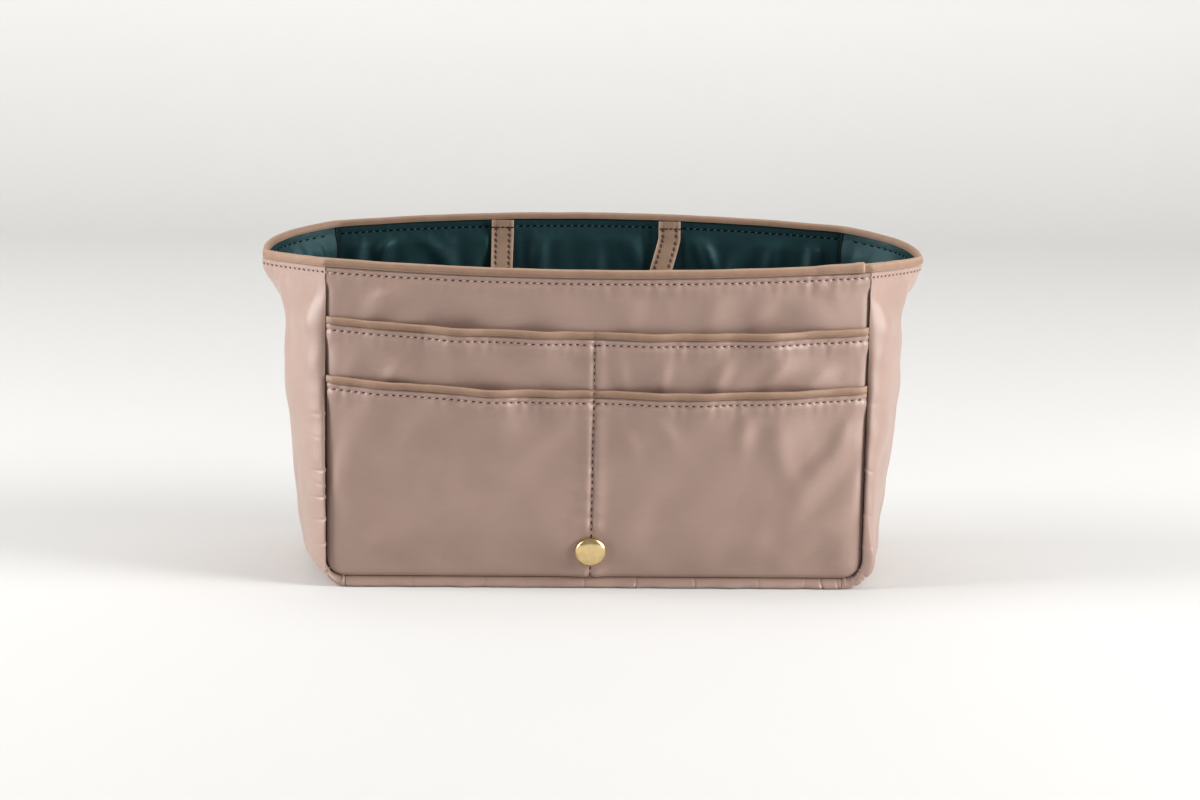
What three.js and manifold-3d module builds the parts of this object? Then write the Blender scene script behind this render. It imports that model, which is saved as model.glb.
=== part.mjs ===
// A soft bag organizer: an open-topped, padded insert with two stacked outside pockets, pinched side
// gussets, a bound rim and two carry handles that hang inside. It stands on the ground plane with the
// middle of its base at the origin. X runs to the right, Y to the back and Z up. All sizes are millimetres.
import * as THREE from 'three';
import { mergeVertices } from 'three/addons/utils/BufferGeometryUtils.js';
import Module from 'manifold-3d';

const wasm = await Module();
wasm.setup();

// Seams: the outline of the front and back panels, which are alike.
const seamHalfWidth = 147.4;
const seamHalfDepth = 63.5;
const seamHeight = 5.6;
const seamCornerRadius = 11;

// Rim: the top of the binding. Its lowest stretch is the middle of the front, and the rest follows from that.
const frontMiddleHeight = 178.2;
const frontCornerRise = 2.8;
const backMiddleRise = 10;
const backCornerDrop = 4.2;
const tipDrop = 5.6;
const tipReach = 36.4;
const tipRounding = 0.07;
const tipFallPower = 1.3;
// The rim's front half runs straight to the tip, and its back half is a full arc.
const backArcSquareness = 2.6;

// How far the panels bow out of their seam planes.
const frontRimBow = 16;
const backRimBow = 17;
const lowerBow = 5;
const bowPower = 1.5;
const bowRampHeight = 30;

// How far the gussets round out past the side seams, and the crease down their middle.
const lowerSideBulge = 14.6;
const upperSideBulge = 23.4;
const sideBulgeHeight = 110;
const pinchStartDrop = 33.4;
const pinchEndDrop = 5.4;
const creaseDepth = 2.6;
const creaseWidth = 0.3;
const bulgeSquareness = 2.6;
const bulgeFullness = 0.625;

// The share of the base that lies flat, between the rounded edges of its roll.
const baseFlatShare = 0.92;

// The soft roll that the gusset strip makes along the seams.
const rollReach = 6;
const rollWidth = 0.06;
const rollFade = 16;
const rollTopGap = 1;

// Layers of the wall, from the outside in.
const fabricThickness = 0.6;
const paddingThickness = 1.4;
const liningThickness = 0.5;
const layerGap = 0.3;
const paddingDrop = 10.4;
const liningTuckStart = 6.8;

// Bindings folded over the free edges.
const bindingThickness = 0.8;
const bindingHeight = 4.4;
const pocketBindingHeight = 3.8;
const bindingCrownShare = 0.45;

// Outside pockets: how far their mouths lie below the rim. The left ends lie a little higher than the right.
const middlePocketDrop = 30.5;
const frontPocketDrop = 62.6;
const mouthSag = 3.2;
const mouthTilt = 1.8;
const pocketThickness = 0.5;
const pocketGape = 8;
const pocketGapeFullness = 1.2;
const mouthTuckHeight = 16;
const leastFoldRise = 4;
const pocketSideGap = 0.9;
const dividerLeftShift = 2.4;

// Carry handles.
const strapWidth = 12.6;
const strapThickness = 1.6;
const handleLeftReach = 50;
const handleRightReach = 46.6;
const handleDrop = 101;
const handleSwingLeft = 12;
const sewnLineDrop = 10.9;
const hingeOffset = 0.4;
const hingeGap = 0.3;
const handleClearance = 1.4;
const clearanceRun = 20;
const twistShare = 0.42;

// Where the hanging loop's middle line runs: across, in halves of its span from the named point, and down,
// in shares of its drop.
const loopFromLeftEnd = [[0, 0], [-0.01, 0.3], [0.01, 0.6]];
const loopFromLowPoint = [[-0.55, 0.89], [0, 1], [0.55, 0.87]];
const loopFromRightEnd = [[-0.32, 0.58], [-0.14, 0.27], [-0.002, 0.03], [0, 0]];

// The round stud on the lower end of the pocket divider.
const studLeftShift = 0.2;
const studHeight = 21.5;
const studRadius = 8.6;
const studDome = 3.4;
const studEdge = 1.2;
const studSeat = 0.7;
const shankRadius = 1.1;
const shankClearance = 0.3;
const washerRadius = 4.2;
const washerThickness = 0.7;
const drillReach = 4;
const cutMargin = 1;

// How finely the surfaces are divided.
const mergeDistance = 1e-4;
const cornerTurns = 4;
const baseColumns = 6;
const baseLiningColumns = 4;
const rimPanelCount = 22;
const rimGussetCount = 14;
const endRows = 2;
const endColumns = 3;
const loopCount = 36;
const domeRings = 6;
const studSides = 28;
const washerSides = 24;
const shallowTurn = 0.1;

// Heights and places that follow from the sizes above.
const frontCornerHeight = frontMiddleHeight + frontCornerRise;
const backMiddleHeight = frontMiddleHeight + backMiddleRise;
const backCornerHeight = backMiddleHeight - backCornerDrop;
const tipHeight = frontCornerHeight - tipDrop;
const middlePocketHeight = frontMiddleHeight - middlePocketDrop;
const frontPocketHeight = frontMiddleHeight - frontPocketDrop;
const dividerOffset = -dividerLeftShift;
const studOffset = dividerOffset - studLeftShift;
const handleLeftEnd = -handleLeftReach;
const handleRightEnd = handleRightReach;

// Insets, counted inwards from the outer face of the wall.
const paddingInset = fabricThickness + layerGap;
const paddingEnd = paddingInset + paddingThickness;
const liningInset = paddingEnd + layerGap;
const wallThickness = liningInset + liningThickness;
const liningRimInset = fabricThickness + layerGap;

const materials = {
  fabric: new THREE.MeshStandardMaterial({ color: 0xa38477, roughness: 0.5, metalness: 0 }),
  binding: new THREE.MeshStandardMaterial({ color: 0x9c8067, roughness: 0.55, metalness: 0 }),
  lining: new THREE.MeshStandardMaterial({ color: 0x1d3236, roughness: 0.6, metalness: 0 }),
  padding: new THREE.MeshStandardMaterial({ color: 0xd9d5cc, roughness: 0.95, metalness: 0 }),
  board: new THREE.MeshStandardMaterial({ color: 0x35332f, roughness: 0.8, metalness: 0 }),
  metal: new THREE.MeshStandardMaterial({ color: 0xd2ad5c, roughness: 0.25, metalness: 1 }),
};

const smooth = (value) => THREE.MathUtils.smoothstep(value, 0, 1);
const mix = THREE.MathUtils.lerp;

// Spreads count + 1 values from low to high.
function spread(low, high, count) {
  return Array.from({ length: count + 1 }, (_, i) => mix(low, high, i / count));
}

// Values from -1 to 1 across the gusset strip, close together at the seams and at the crease.
const acrossHalf = [1, 0.985, 0.96, 0.92, 0.84, 0.7, 0.6, 0.5, 0.4, 0.3, 0.12];
const mirrored = (half) => [...half.map((value) => -value), 0, ...[...half].reverse()];
const acrossFine = mirrored(acrossHalf);
const acrossPlain = mirrored([1, 0.96, 0.84, 0.7, 0.6, 0.5, 0.4, 0.3, 0.12]);

// A closed solid from a grid of outer points and a grid of inner points, rows[i][j] = [x, y, z].
function gridSolid(outer, inner) {
  const rows = outer.length;
  const columns = outer[0].length;
  const positions = [...outer.flat(), ...inner.flat()].flat();
  const index = [];
  const at = (layer, i, j) => layer * rows * columns + i * columns + j;
  const quad = (a, b, c, d) => index.push(a, b, c, a, c, d);
  for (let i = 0; i < rows - 1; i += 1) {
    for (let j = 0; j < columns - 1; j += 1) {
      quad(at(0, i, j), at(0, i, j + 1), at(0, i + 1, j + 1), at(0, i + 1, j));
      quad(at(1, i, j), at(1, i + 1, j), at(1, i + 1, j + 1), at(1, i, j + 1));
    }
  }
  for (let j = 0; j < columns - 1; j += 1) {
    quad(at(0, 0, j), at(1, 0, j), at(1, 0, j + 1), at(0, 0, j + 1));
    quad(at(0, rows - 1, j), at(0, rows - 1, j + 1), at(1, rows - 1, j + 1), at(1, rows - 1, j));
  }
  for (let i = 0; i < rows - 1; i += 1) {
    quad(at(0, i, 0), at(0, i + 1, 0), at(1, i + 1, 0), at(1, i, 0));
    quad(at(0, i, columns - 1), at(1, i, columns - 1), at(1, i + 1, columns - 1), at(0, i + 1, columns - 1));
  }
  return facingOut(positions, index);
}

// A tube-like solid from a list of closed sections. A closed run joins the last section to the first.
function sectionSolid(sections, closedRun) {
  const count = sections.length;
  const sides = sections[0].length;
  const positions = sections.flat().flat();
  const index = [];
  const at = (i, j) => (i % count) * sides + (j % sides);
  const runs = closedRun ? count : count - 1;
  for (let i = 0; i < runs; i += 1) {
    for (let j = 0; j < sides; j += 1) {
      index.push(at(i, j), at(i + 1, j), at(i + 1, j + 1), at(i, j), at(i + 1, j + 1), at(i, j + 1));
    }
  }
  if (!closedRun) {
    const cap = capTriangles(sections[0]);
    const last = capTriangles(sections[count - 1]);
    cap.forEach(([a, b, c]) => index.push(at(0, a), at(0, b), at(0, c)));
    last.forEach(([a, b, c]) => index.push(at(count - 1, c), at(count - 1, b), at(count - 1, a)));
  }
  return facingOut(positions, index);
}

// Triangles that close one section, wound the way that the section's points run.
function capTriangles(section) {
  const points = section.map((point) => new THREE.Vector3(...point));
  const origin = points[0];
  const alongFirst = points[1].clone().sub(origin).normalize();
  const normal = new THREE.Vector3();
  points.forEach((point, i) => {
    const next = points[(i + 1) % points.length];
    normal.add(point.clone().sub(origin).cross(next.clone().sub(origin)));
  });
  normal.normalize();
  const alongSecond = normal.clone().cross(alongFirst);
  const flat = points.map((point) => {
    const offset = point.clone().sub(origin);
    return new THREE.Vector2(offset.dot(alongFirst), offset.dot(alongSecond));
  });
  return THREE.ShapeUtils.triangulateShape(flat, []).map(([a, b, c]) => {
    const turn = THREE.ShapeUtils.area([flat[a], flat[b], flat[c]]);
    return turn > 0 ? [a, b, c] : [a, c, b];
  });
}

// Turns every face outwards, which the sign of the enclosed volume shows.
function facingOut(positions, index) {
  let volume = 0;
  const corner = (i) => new THREE.Vector3(...positions.slice(i * 3, i * 3 + 3));
  for (let i = 0; i < index.length; i += 3) {
    volume += corner(index[i]).dot(corner(index[i + 1]).cross(corner(index[i + 2])));
  }
  if (volume < 0) {
    for (let i = 0; i < index.length; i += 3) {
      [index[i + 1], index[i + 2]] = [index[i + 2], index[i + 1]];
    }
  }
  const geometry = new THREE.BufferGeometry();
  geometry.setAttribute('position', new THREE.Float32BufferAttribute(positions, 3));
  geometry.setIndex(index);
  geometry.computeVertexNormals();
  return geometry;
}

function toSolid(geometry) {
  const bare = geometry.clone();
  bare.deleteAttribute('normal');
  bare.deleteAttribute('uv');
  const merged = mergeVertices(bare, mergeDistance);
  return new wasm.Manifold(new wasm.Mesh({
    numProp: 3,
    vertProperties: new Float32Array(merged.attributes.position.array),
    triVerts: new Uint32Array(merged.index.array),
  }));
}

function toGeometry(solid) {
  const mesh = solid.getMesh();
  const geometry = new THREE.BufferGeometry();
  geometry.setAttribute('position', new THREE.BufferAttribute(new Float32Array(mesh.vertProperties), 3));
  geometry.setIndex(new THREE.BufferAttribute(new Uint32Array(mesh.triVerts), 1));
  geometry.computeVertexNormals();
  return geometry;
}

// Height of the binding's top along the rim.
function panelRim(side, x) {
  const inwards = 1 - (x / seamHalfWidth) ** 2;
  return side < 0
    ? mix(frontCornerHeight, frontMiddleHeight, inwards)
    : mix(backCornerHeight, backMiddleHeight, inwards);
}

function gussetRim(across) {
  const corner = across < 0 ? frontCornerHeight : backCornerHeight;
  return mix(tipHeight, corner, Math.abs(across) ** tipFallPower);
}

// The lining lies against the outer fabric under the binding and behind the padding below it.
function liningStart(depthBelowRim) {
  const tuck = smooth((depthBelowRim - liningTuckStart) / (paddingDrop - liningTuckStart));
  return mix(liningRimInset, liningInset, tuck);
}

// Front and back panels. side is -1 for the front and 1 for the back.
function panelBow(side, x, z) {
  const rimBow = side < 0 ? frontRimBow : backRimBow;
  const rim = panelRim(side, 0);
  const rise = Math.max(0, z / rim) ** bowPower;
  const ramp = smooth((z - seamHeight) / bowRampHeight);
  return mix(lowerBow, rimBow, rise) * ramp * Math.max(0, 1 - (x / seamHalfWidth) ** 2);
}

function panelPoint(side, x, z, inset) {
  return [x, side * (seamHalfDepth - inset + panelBow(side, x, z)), z];
}

// Lower edge of a panel whose outline is drawn in by an inset, with its corners rounded.
function panelBottom(x, inset) {
  const radius = seamCornerRadius - inset;
  const past = Math.abs(x) - (seamHalfWidth - seamCornerRadius);
  const rounding = past > 0 ? radius - Math.sqrt(Math.max(0, radius ** 2 - past ** 2)) : 0;
  return seamHeight + inset + rounding;
}

// Places across a panel: shares of the corner's radius in from a side seam, then shares of the straight run
// from the corner to the middle.
const fineStations = { corner: [0.145, 0.364, 0.682, 1], straight: [0.066, 0.2, 0.36, 0.52, 0.68, 0.84] };
const plainStations = { corner: [0.5, 1.09], straight: [0.14, 0.315, 0.49, 0.667, 0.843] };
const leastStation = 1;

function acrossPanel(edgeInset, stations, middle) {
  const limit = seamHalfWidth - edgeInset;
  const straightRun = seamHalfWidth - seamCornerRadius;
  const inside = [
    ...stations.corner.map((share) => seamHalfWidth - share * seamCornerRadius),
    ...stations.straight.map((share) => straightRun * (1 - share)),
  ].filter((x) => x < limit - leastStation);
  const right = [limit, ...inside];
  return [...right.map((x) => -x), middle, ...[...right].reverse()];
}

// Heights up a wall. Every layer shares them, so that the layers keep their distances.
const cornerTop = seamHeight + seamCornerRadius;
const lowLevels = [3.4, 13.4, 25.4].map((rise) => cornerTop + rise);
const sideLevels = [13.4, 33.4].map((rise) => cornerTop + rise);
const rimDepths = [paddingDrop, (paddingDrop + liningTuckStart) / 2, liningTuckStart];

function wallLevels(rim, levels) {
  const lowest = levels[levels.length - 1];
  const highest = rim - paddingDrop;
  return [...levels, mix(lowest, highest, 1 / 3), mix(lowest, highest, 2 / 3)];
}

// One layer of a panel between two insets, which may change with the depth below the rim.
function panelLayer(side, edgeInset, stations, middle, depths, outerInset, innerInset) {
  const columns = acrossPanel(edgeInset, stations, middle).map((x) => {
    const rim = panelRim(side, x);
    const tops = depths.map((depth) => rim - depth);
    const heights = [panelBottom(x, edgeInset), ...wallLevels(rim, lowLevels), ...tops];
    return heights.map((z) => ({ x, z, depth: rim - z }));
  });
  const face = (insetAt) => columns.map((column) => (
    column.map(({ x, z, depth }) => panelPoint(side, x, z, insetAt(depth)))));
  return gridSolid(face(outerInset), face(innerInset));
}

// Gusset strip. across runs from -1 at the front seam to 1 at the back seam.
function gussetBulge(across, z) {
  const far = Math.abs(across);
  const round = Math.max(0, 1 - far ** bulgeSquareness) ** bulgeFullness;
  const soft = Math.hypot(far, tipRounding) - tipRounding;
  const towardsSeam = soft / (Math.hypot(1, tipRounding) - tipRounding);
  const tent = 1 - towardsSeam ** (across > 0 ? backArcSquareness : 1);
  const side = mix(lowerSideBulge, upperSideBulge, smooth((z - seamHeight) / sideBulgeHeight));
  const crease = creaseDepth * Math.exp(-((across / creaseWidth) ** 2)) * smooth(z / sideBulgeHeight);
  const pinch = smooth((z - tipHeight + pinchStartDrop) / (pinchStartDrop - pinchEndDrop));
  return mix(side * round - crease, tipReach * tent, pinch);
}

function baseBulge(across) {
  const past = Math.max(0, Math.abs(across) - baseFlatShare) / (1 - baseFlatShare);
  return seamHeight * Math.sqrt(Math.max(0, 1 - past ** 2));
}

function rollBump(across) {
  const reach = (1 - Math.abs(across)) / rollWidth;
  return Math.sign(across) * rollReach * reach * Math.exp(1 - reach);
}

// A point of the side wall: the hand is -1 on the left and 1 on the right.
function sidePoint(hand, across, z, inset, rolled) {
  const fade = smooth((gussetRim(across) - z - bindingHeight - rollTopGap) / rollFade);
  const roll = rolled ? rollBump(across) * fade : 0;
  const x = seamHalfWidth + gussetBulge(across, z) - inset;
  return [hand * x, across * (seamHalfDepth - inset) + roll, z];
}

// A point of the rounded lower corner. turn runs from 0 at the side to 1 at the base.
function cornerPoint(hand, across, turn, inset, rolled) {
  const centreX = seamHalfWidth - seamCornerRadius;
  const centreZ = cornerTop;
  const angle = (turn * Math.PI) / 2;
  const rounding = seamCornerRadius + mix(gussetBulge(across, centreZ), baseBulge(across), smooth(turn));
  const toGround = (seamCornerRadius + baseBulge(across)) / Math.sin(Math.max(angle, shallowTurn));
  const reach = Math.min(rounding, toGround) - inset;
  const roll = rolled ? rollBump(across) : 0;
  return [
    hand * (centreX + reach * Math.cos(angle)),
    across * (seamHalfDepth - inset) + roll,
    centreZ - reach * Math.sin(angle),
  ];
}

function basePoint(across, x, inset, rolled) {
  const roll = rolled ? rollBump(across) : 0;
  return [x, across * (seamHalfDepth - inset) + roll, seamHeight - baseBulge(across) + inset];
}

// A grid of the side wall and its lower corner, from the rim down.
function sideFace(hand, acrossList, depths, insetAt, rolled) {
  const heightsAt = (across) => {
    const rim = gussetRim(across);
    const tops = [...depths].reverse().map((depth) => rim - depth);
    return [...tops, ...wallLevels(rim, sideLevels).reverse(), cornerTop];
  };
  const count = heightsAt(0).length;
  const side = Array.from({ length: count }, (_, row) => acrossList.map((across) => {
    const z = heightsAt(across)[row];
    return sidePoint(hand, across, z, insetAt(gussetRim(across) - z), rolled);
  }));
  const corner = spread(0, 1, cornerTurns).slice(1).map((turn) => acrossList.map((across) => (
    cornerPoint(hand, across, turn, insetAt(tipHeight - seamHeight), rolled))));
  return [...side, ...corner];
}

// Moves every point of a grid along the grid's own normal.
function thicken(grid, distance) {
  const at = (i, j) => new THREE.Vector3(...grid[i][j]);
  return grid.map((row, i) => row.map((point, j) => {
    const down = at(Math.min(i + 1, grid.length - 1), j).sub(at(Math.max(i - 1, 0), j));
    const along = at(i, Math.min(j + 1, row.length - 1)).sub(at(i, Math.max(j - 1, 0)));
    const normal = down.cross(along).normalize();
    return new THREE.Vector3(...point).addScaledVector(normal, distance).toArray();
  }));
}

const wallTopDrop = bindingThickness + layerGap;
const group = new THREE.Group();

function addPart(name, geometry, material, parent = group) {
  const mesh = new THREE.Mesh(geometry, material);
  mesh.name = name;
  parent.add(mesh);
  return mesh;
}

// Outer fabric, padding and lining of the front and back.
const wallDepths = [...rimDepths, wallTopDrop];
const noInset = () => 0;
const fabricInset = () => fabricThickness;
const paddingOuter = () => paddingInset;
const paddingInner = () => paddingEnd;
const liningInner = (depth) => liningStart(depth) + liningThickness;

function fabricPanel(side) {
  const edge = fabricThickness + layerGap;
  return panelLayer(side, edge, fineStations, dividerOffset, wallDepths, noInset, fabricInset);
}
function paddingPanel(side) {
  const edge = paddingEnd + layerGap;
  return panelLayer(side, edge, plainStations, 0, [paddingDrop], paddingOuter, paddingInner);
}
function liningPanel(side) {
  const edge = wallThickness + layerGap;
  return panelLayer(side, edge, plainStations, 0, wallDepths, liningStart, liningInner);
}

// Gussets, each in three layers.
function fabricGusset(hand) {
  const outer = sideFace(hand, acrossFine, wallDepths, noInset, true);
  return gridSolid(outer, thicken(outer, -hand * fabricThickness));
}
function layerGusset(hand, depths, outerInset, innerInset) {
  const outer = sideFace(hand, acrossPlain, depths, outerInset, false);
  const inner = sideFace(hand, acrossPlain, depths, innerInset, false);
  return gridSolid(outer, inner);
}

// Base, between the ends of the gussets' lower corners.
const baseHalfLength = seamHalfWidth - seamCornerRadius - layerGap;
function baseFace(acrossList, columns, inset, rolled) {
  return spread(-baseHalfLength, baseHalfLength, columns).map((x) => (
    acrossList.map((across) => basePoint(across, x, inset, rolled))));
}
function baseLayer(acrossList, columns, outerInset, innerInset, rolled) {
  const outer = baseFace(acrossList, columns, outerInset, rolled);
  const inner = rolled
    ? thicken(outer, fabricThickness)
    : baseFace(acrossList, columns, innerInset, false);
  return gridSolid(outer, inner);
}
const acrossBoard = [-baseFlatShare, 0, baseFlatShare];

// Pockets: sheets that lie on the front panel, sewn down at the sides, the bottom and the divider.
function mouthHeight(endHeight, x) {
  const along = x / seamHalfWidth;
  return endHeight - mouthSag * (1 - along ** 2) - mouthTilt * along;
}
function cellShape(x) {
  const half = x < dividerOffset
    ? (x + seamHalfWidth) / (dividerOffset + seamHalfWidth)
    : (seamHalfWidth - x) / (seamHalfWidth - dividerOffset);
  return Math.sin(Math.PI * THREE.MathUtils.clamp(half, 0, 1)) ** pocketGapeFullness;
}
const tuckGap = bindingThickness + 2 * layerGap;
function pocketGap(endHeight, x, z) {
  const mouth = mouthHeight(endHeight, x);
  const tuck = smooth(1 - (mouth - z - pocketBindingHeight) / mouthTuckHeight);
  const open = THREE.MathUtils.clamp((z - seamHeight) / (mouth - seamHeight), 0, 1) ** 2;
  return mix(layerGap, tuckGap, tuck) + pocketGape * cellShape(x) * open;
}
function middlePocketOut(x, z) {
  return pocketGap(middlePocketHeight, x, z) + pocketThickness;
}
function frontPocketOut(x, z) {
  return middlePocketOut(x, z) + pocketGap(frontPocketHeight, x, z) + pocketThickness;
}
const pocketColumns = acrossPanel(pocketSideGap, fineStations, dividerOffset);
function pocketSheet(endHeight, outOf) {
  const lowestFold = endHeight - mouthSag - mouthTilt - mouthTuckHeight;
  const levelsAt = (x) => wallLevels(panelRim(-1, x), lowLevels);
  const sharedCount = levelsAt(seamHalfWidth).filter((z) => z < lowestFold - leastFoldRise).length;
  const heightsAt = (x) => {
    const mouth = mouthHeight(endHeight, x);
    const fold = mouth - mouthTuckHeight;
    const shared = levelsAt(x).slice(0, sharedCount);
    const tops = [fold, mouth - pocketBindingHeight, mouth - bindingThickness - layerGap];
    return [panelBottom(x, pocketSideGap), ...shared, ...tops];
  };
  const face = (shift) => pocketColumns.map((x) => heightsAt(x).map((z) => (
    panelPoint(-1, x, z, shift - outOf(x, z)))));
  return gridSolid(face(0), face(pocketThickness));
}

// A binding folded over an edge: a channel section that follows the sheet on both of its faces.
function channelSection(pointAt, rim, height, outerFace, innerFace) {
  const out = outerFace + layerGap;
  const into = innerFace + layerGap;
  const crown = bindingThickness * bindingCrownShare;
  return [
    pointAt(rim - height, -out - bindingThickness),
    pointAt(rim - crown, -out - bindingThickness),
    pointAt(rim, -out - bindingThickness + crown),
    pointAt(rim, into + bindingThickness - crown),
    pointAt(rim - crown, into + bindingThickness),
    pointAt(rim - height, into + bindingThickness),
    pointAt(rim - height, into),
    pointAt(rim - bindingThickness, into),
    pointAt(rim - bindingThickness, -out),
    pointAt(rim - height, -out),
  ];
}
function pocketBinding(endHeight, outOf) {
  const sections = pocketColumns.map((x) => {
    const rim = mouthHeight(endHeight, x);
    const pointAt = (z, inset) => panelPoint(-1, x, z, inset - outOf(x, z));
    return channelSection(pointAt, rim, pocketBindingHeight, 0, pocketThickness);
  });
  return sectionSolid(sections, false);
}

// The rim's loop, from the left end of the front panel round to the left gusset.
function rimStations(panelCount, gussetCount) {
  const panel = (side) => spread(side, -side, panelCount).slice(0, -1).map((along) => ({
    rim: panelRim(side, along * seamHalfWidth),
    pointAt: (z, inset) => panelPoint(side, along * (seamHalfWidth - inset), z, inset),
  }));
  const gusset = (hand) => spread(-hand, hand, gussetCount).slice(0, -1).map((across) => ({
    rim: gussetRim(across),
    pointAt: (z, inset) => sidePoint(hand, across, z, inset, false),
  }));
  return [...panel(-1), ...gusset(1), ...panel(1), ...gusset(-1)];
}
function rimBinding() {
  const rimWall = liningRimInset + liningThickness;
  const sections = rimStations(rimPanelCount, rimGussetCount).map(({ rim, pointAt }) => (
    channelSection(pointAt, rim, bindingHeight, 0, rimWall)));
  return sectionSolid(sections, true);
}

// Handles. Each is a strap whose two ends are sewn flat under the rim and whose middle hangs in a loop.
function sewnLine(side) {
  return Math.min(panelRim(side, handleLeftEnd), panelRim(side, handleRightEnd)) - sewnLineDrop;
}
function liningFace(side, x, z) {
  const inset = liningStart(panelRim(side, x) - z) + liningThickness;
  return Math.abs(panelPoint(side, x, z, inset)[1]);
}
function hingeDepth(side) {
  const line = sewnLine(side);
  const nearest = Math.min(liningFace(side, handleLeftEnd - strapWidth / 2, line),
    liningFace(side, handleRightEnd + strapWidth / 2, line));
  return nearest - layerGap - strapThickness - hingeOffset;
}
function strapEnd(side, centre) {
  const bottom = sewnLine(side) + hingeGap;
  const face = (shift) => spread(0, 1, endRows).map((rise) => spread(-0.5, 0.5, endColumns).map((along) => {
    const x = centre + along * strapWidth;
    const top = panelRim(side, x) - bindingHeight - layerGap;
    const z = mix(bottom, top, rise);
    return [x, side * (liningFace(side, x, z) - layerGap - shift), z];
  }));
  return gridSolid(face(0), face(strapThickness));
}
// The hanging loop's middle line in its own plane: along X, and down from the sewn line.
function loopCurve() {
  const middle = (handleLeftEnd + handleRightEnd) / 2;
  const low = middle - handleSwingLeft;
  const halfSpan = (handleRightEnd - handleLeftEnd) / 2;
  const from = (start, steps) => steps.map(([across, down]) => (
    new THREE.Vector3(start + across * halfSpan, 0, -down * handleDrop)));
  return new THREE.CatmullRomCurve3([
    ...from(handleLeftEnd, loopFromLeftEnd),
    ...from(low, loopFromLowPoint),
    ...from(handleRightEnd, loopFromRightEnd),
  ]);
}
function handleLoop(side) {
  const curve = loopCurve();
  const line = sewnLine(side);
  const depth = new THREE.Vector3(0, 1, 0);
  const sections = spread(0, 1, loopCount).map((travel) => {
    const point = curve.getPointAt(travel);
    const heading = curve.getTangentAt(travel);
    const turn = smooth(Math.min(travel, 1 - travel) / twistShare) * (Math.PI / 2);
    const flat = new THREE.Vector3(-heading.z, 0, heading.x);
    const wide = flat.multiplyScalar(Math.cos(turn)).addScaledVector(depth, Math.sin(turn));
    const thick = heading.clone().cross(wide).normalize();
    const z = line - hingeGap + point.z;
    const reach = Math.sin(turn) * (strapWidth / 2) + handleClearance * smooth(-point.z / clearanceRun);
    const wall = liningFace(side, point.x, z) - layerGap - strapThickness / 2 - reach;
    const hinge = hingeDepth(side) + hingeOffset + strapThickness / 2;
    const centre = new THREE.Vector3(point.x, side * Math.min(hinge, wall), z);
    const corners = [[-1, -1], [1, -1], [1, 1], [-1, 1]];
    return corners.map(([a, b]) => centre.clone()
      .addScaledVector(wide, (a * strapWidth) / 2)
      .addScaledVector(thick, (b * strapThickness) / 2)
      .toArray());
  });
  return sectionSolid(sections, false);
}

// The stud stands square on the front pocket's face. Its shank passes through the pockets and the front
// panel, and a washer holds it behind the panel.
function studPlace() {
  const faceAt = (z) => panelPoint(-1, studOffset, z, -frontPocketOut(studOffset, z));
  const low = faceAt(studHeight - studRadius);
  const high = faceAt(studHeight + studRadius);
  const lean = Math.atan2(high[1] - low[1], high[2] - low[2]);
  const place = new THREE.Group();
  const clear = Math.max(0, (low[1] + high[1]) / 2 - faceAt(studHeight)[1]);
  place.position.set(studOffset, (low[1] + high[1]) / 2 - clear - studSeat, studHeight);
  place.rotation.set(Math.PI / 2 - lean, 0, 0);
  place.updateMatrixWorld(true);
  return place;
}
const stackDepth = frontPocketOut(studOffset, studHeight) + fabricThickness + studSeat;
function studGeometry() {
  const tail = stackDepth + layerGap + washerThickness;
  const dome = spread(0, 1, domeRings).map((fall) => {
    const angle = (fall * Math.PI) / 2;
    return new THREE.Vector2(studRadius * Math.sin(angle), studEdge + studDome * Math.cos(angle));
  });
  dome[0].x = 0;
  const back = [
    new THREE.Vector2(studRadius, 0),
    new THREE.Vector2(shankRadius, 0),
    new THREE.Vector2(shankRadius, -tail),
    new THREE.Vector2(0, -tail),
  ];
  const profile = [...dome, ...back].reverse();
  return new THREE.LatheGeometry(profile, studSides).rotateX(Math.PI / 2);
}
function diskGeometry(radius, bottom, top) {
  const disk = new THREE.CylinderGeometry(radius, radius, top - bottom, washerSides);
  return disk.rotateX(Math.PI / 2).translate(0, 0, (top + bottom) / 2);
}
const stud = studPlace();
function throughStud(geometry, radius, bottom, top) {
  const tool = diskGeometry(radius, bottom, top).applyMatrix4(stud.matrixWorld);
  return toGeometry(toSolid(geometry).subtract(toSolid(tool)));
}
const holeRadius = shankRadius + shankClearance;
const washerTop = -stackDepth - layerGap;
const washerBottom = washerTop - washerThickness;
const drillDepth = washerBottom - drillReach;
function pierced(geometry) {
  return throughStud(geometry, holeRadius, drillDepth, studEdge);
}
function recessed(geometry) {
  return throughStud(geometry, washerRadius + layerGap, washerBottom - layerGap, studEdge);
}
function washerGeometry() {
  const disk = diskGeometry(washerRadius, washerBottom, washerTop);
  const hole = diskGeometry(holeRadius, washerBottom - cutMargin, washerTop + cutMargin);
  return toGeometry(toSolid(disk).subtract(toSolid(hole)));
}

addPart('front_panel', pierced(fabricPanel(-1)), materials.fabric);
addPart('back_panel', fabricPanel(1), materials.fabric);
addPart('left_gusset', fabricGusset(-1), materials.fabric);
addPart('right_gusset', fabricGusset(1), materials.fabric);
addPart('base_panel', baseLayer(acrossFine, baseColumns, 0, fabricThickness, true), materials.fabric);
addPart('middle_pocket', pierced(pocketSheet(middlePocketHeight, middlePocketOut)), materials.fabric);
addPart('front_pocket', pierced(pocketSheet(frontPocketHeight, frontPocketOut)), materials.fabric);
addPart('middle_pocket_binding', pocketBinding(middlePocketHeight, middlePocketOut), materials.binding);
addPart('front_pocket_binding', pocketBinding(frontPocketHeight, frontPocketOut), materials.binding);
addPart('rim_binding', rimBinding(), materials.binding);
addPart('front_padding', recessed(paddingPanel(-1)), materials.padding);
addPart('back_padding', paddingPanel(1), materials.padding);
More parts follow.
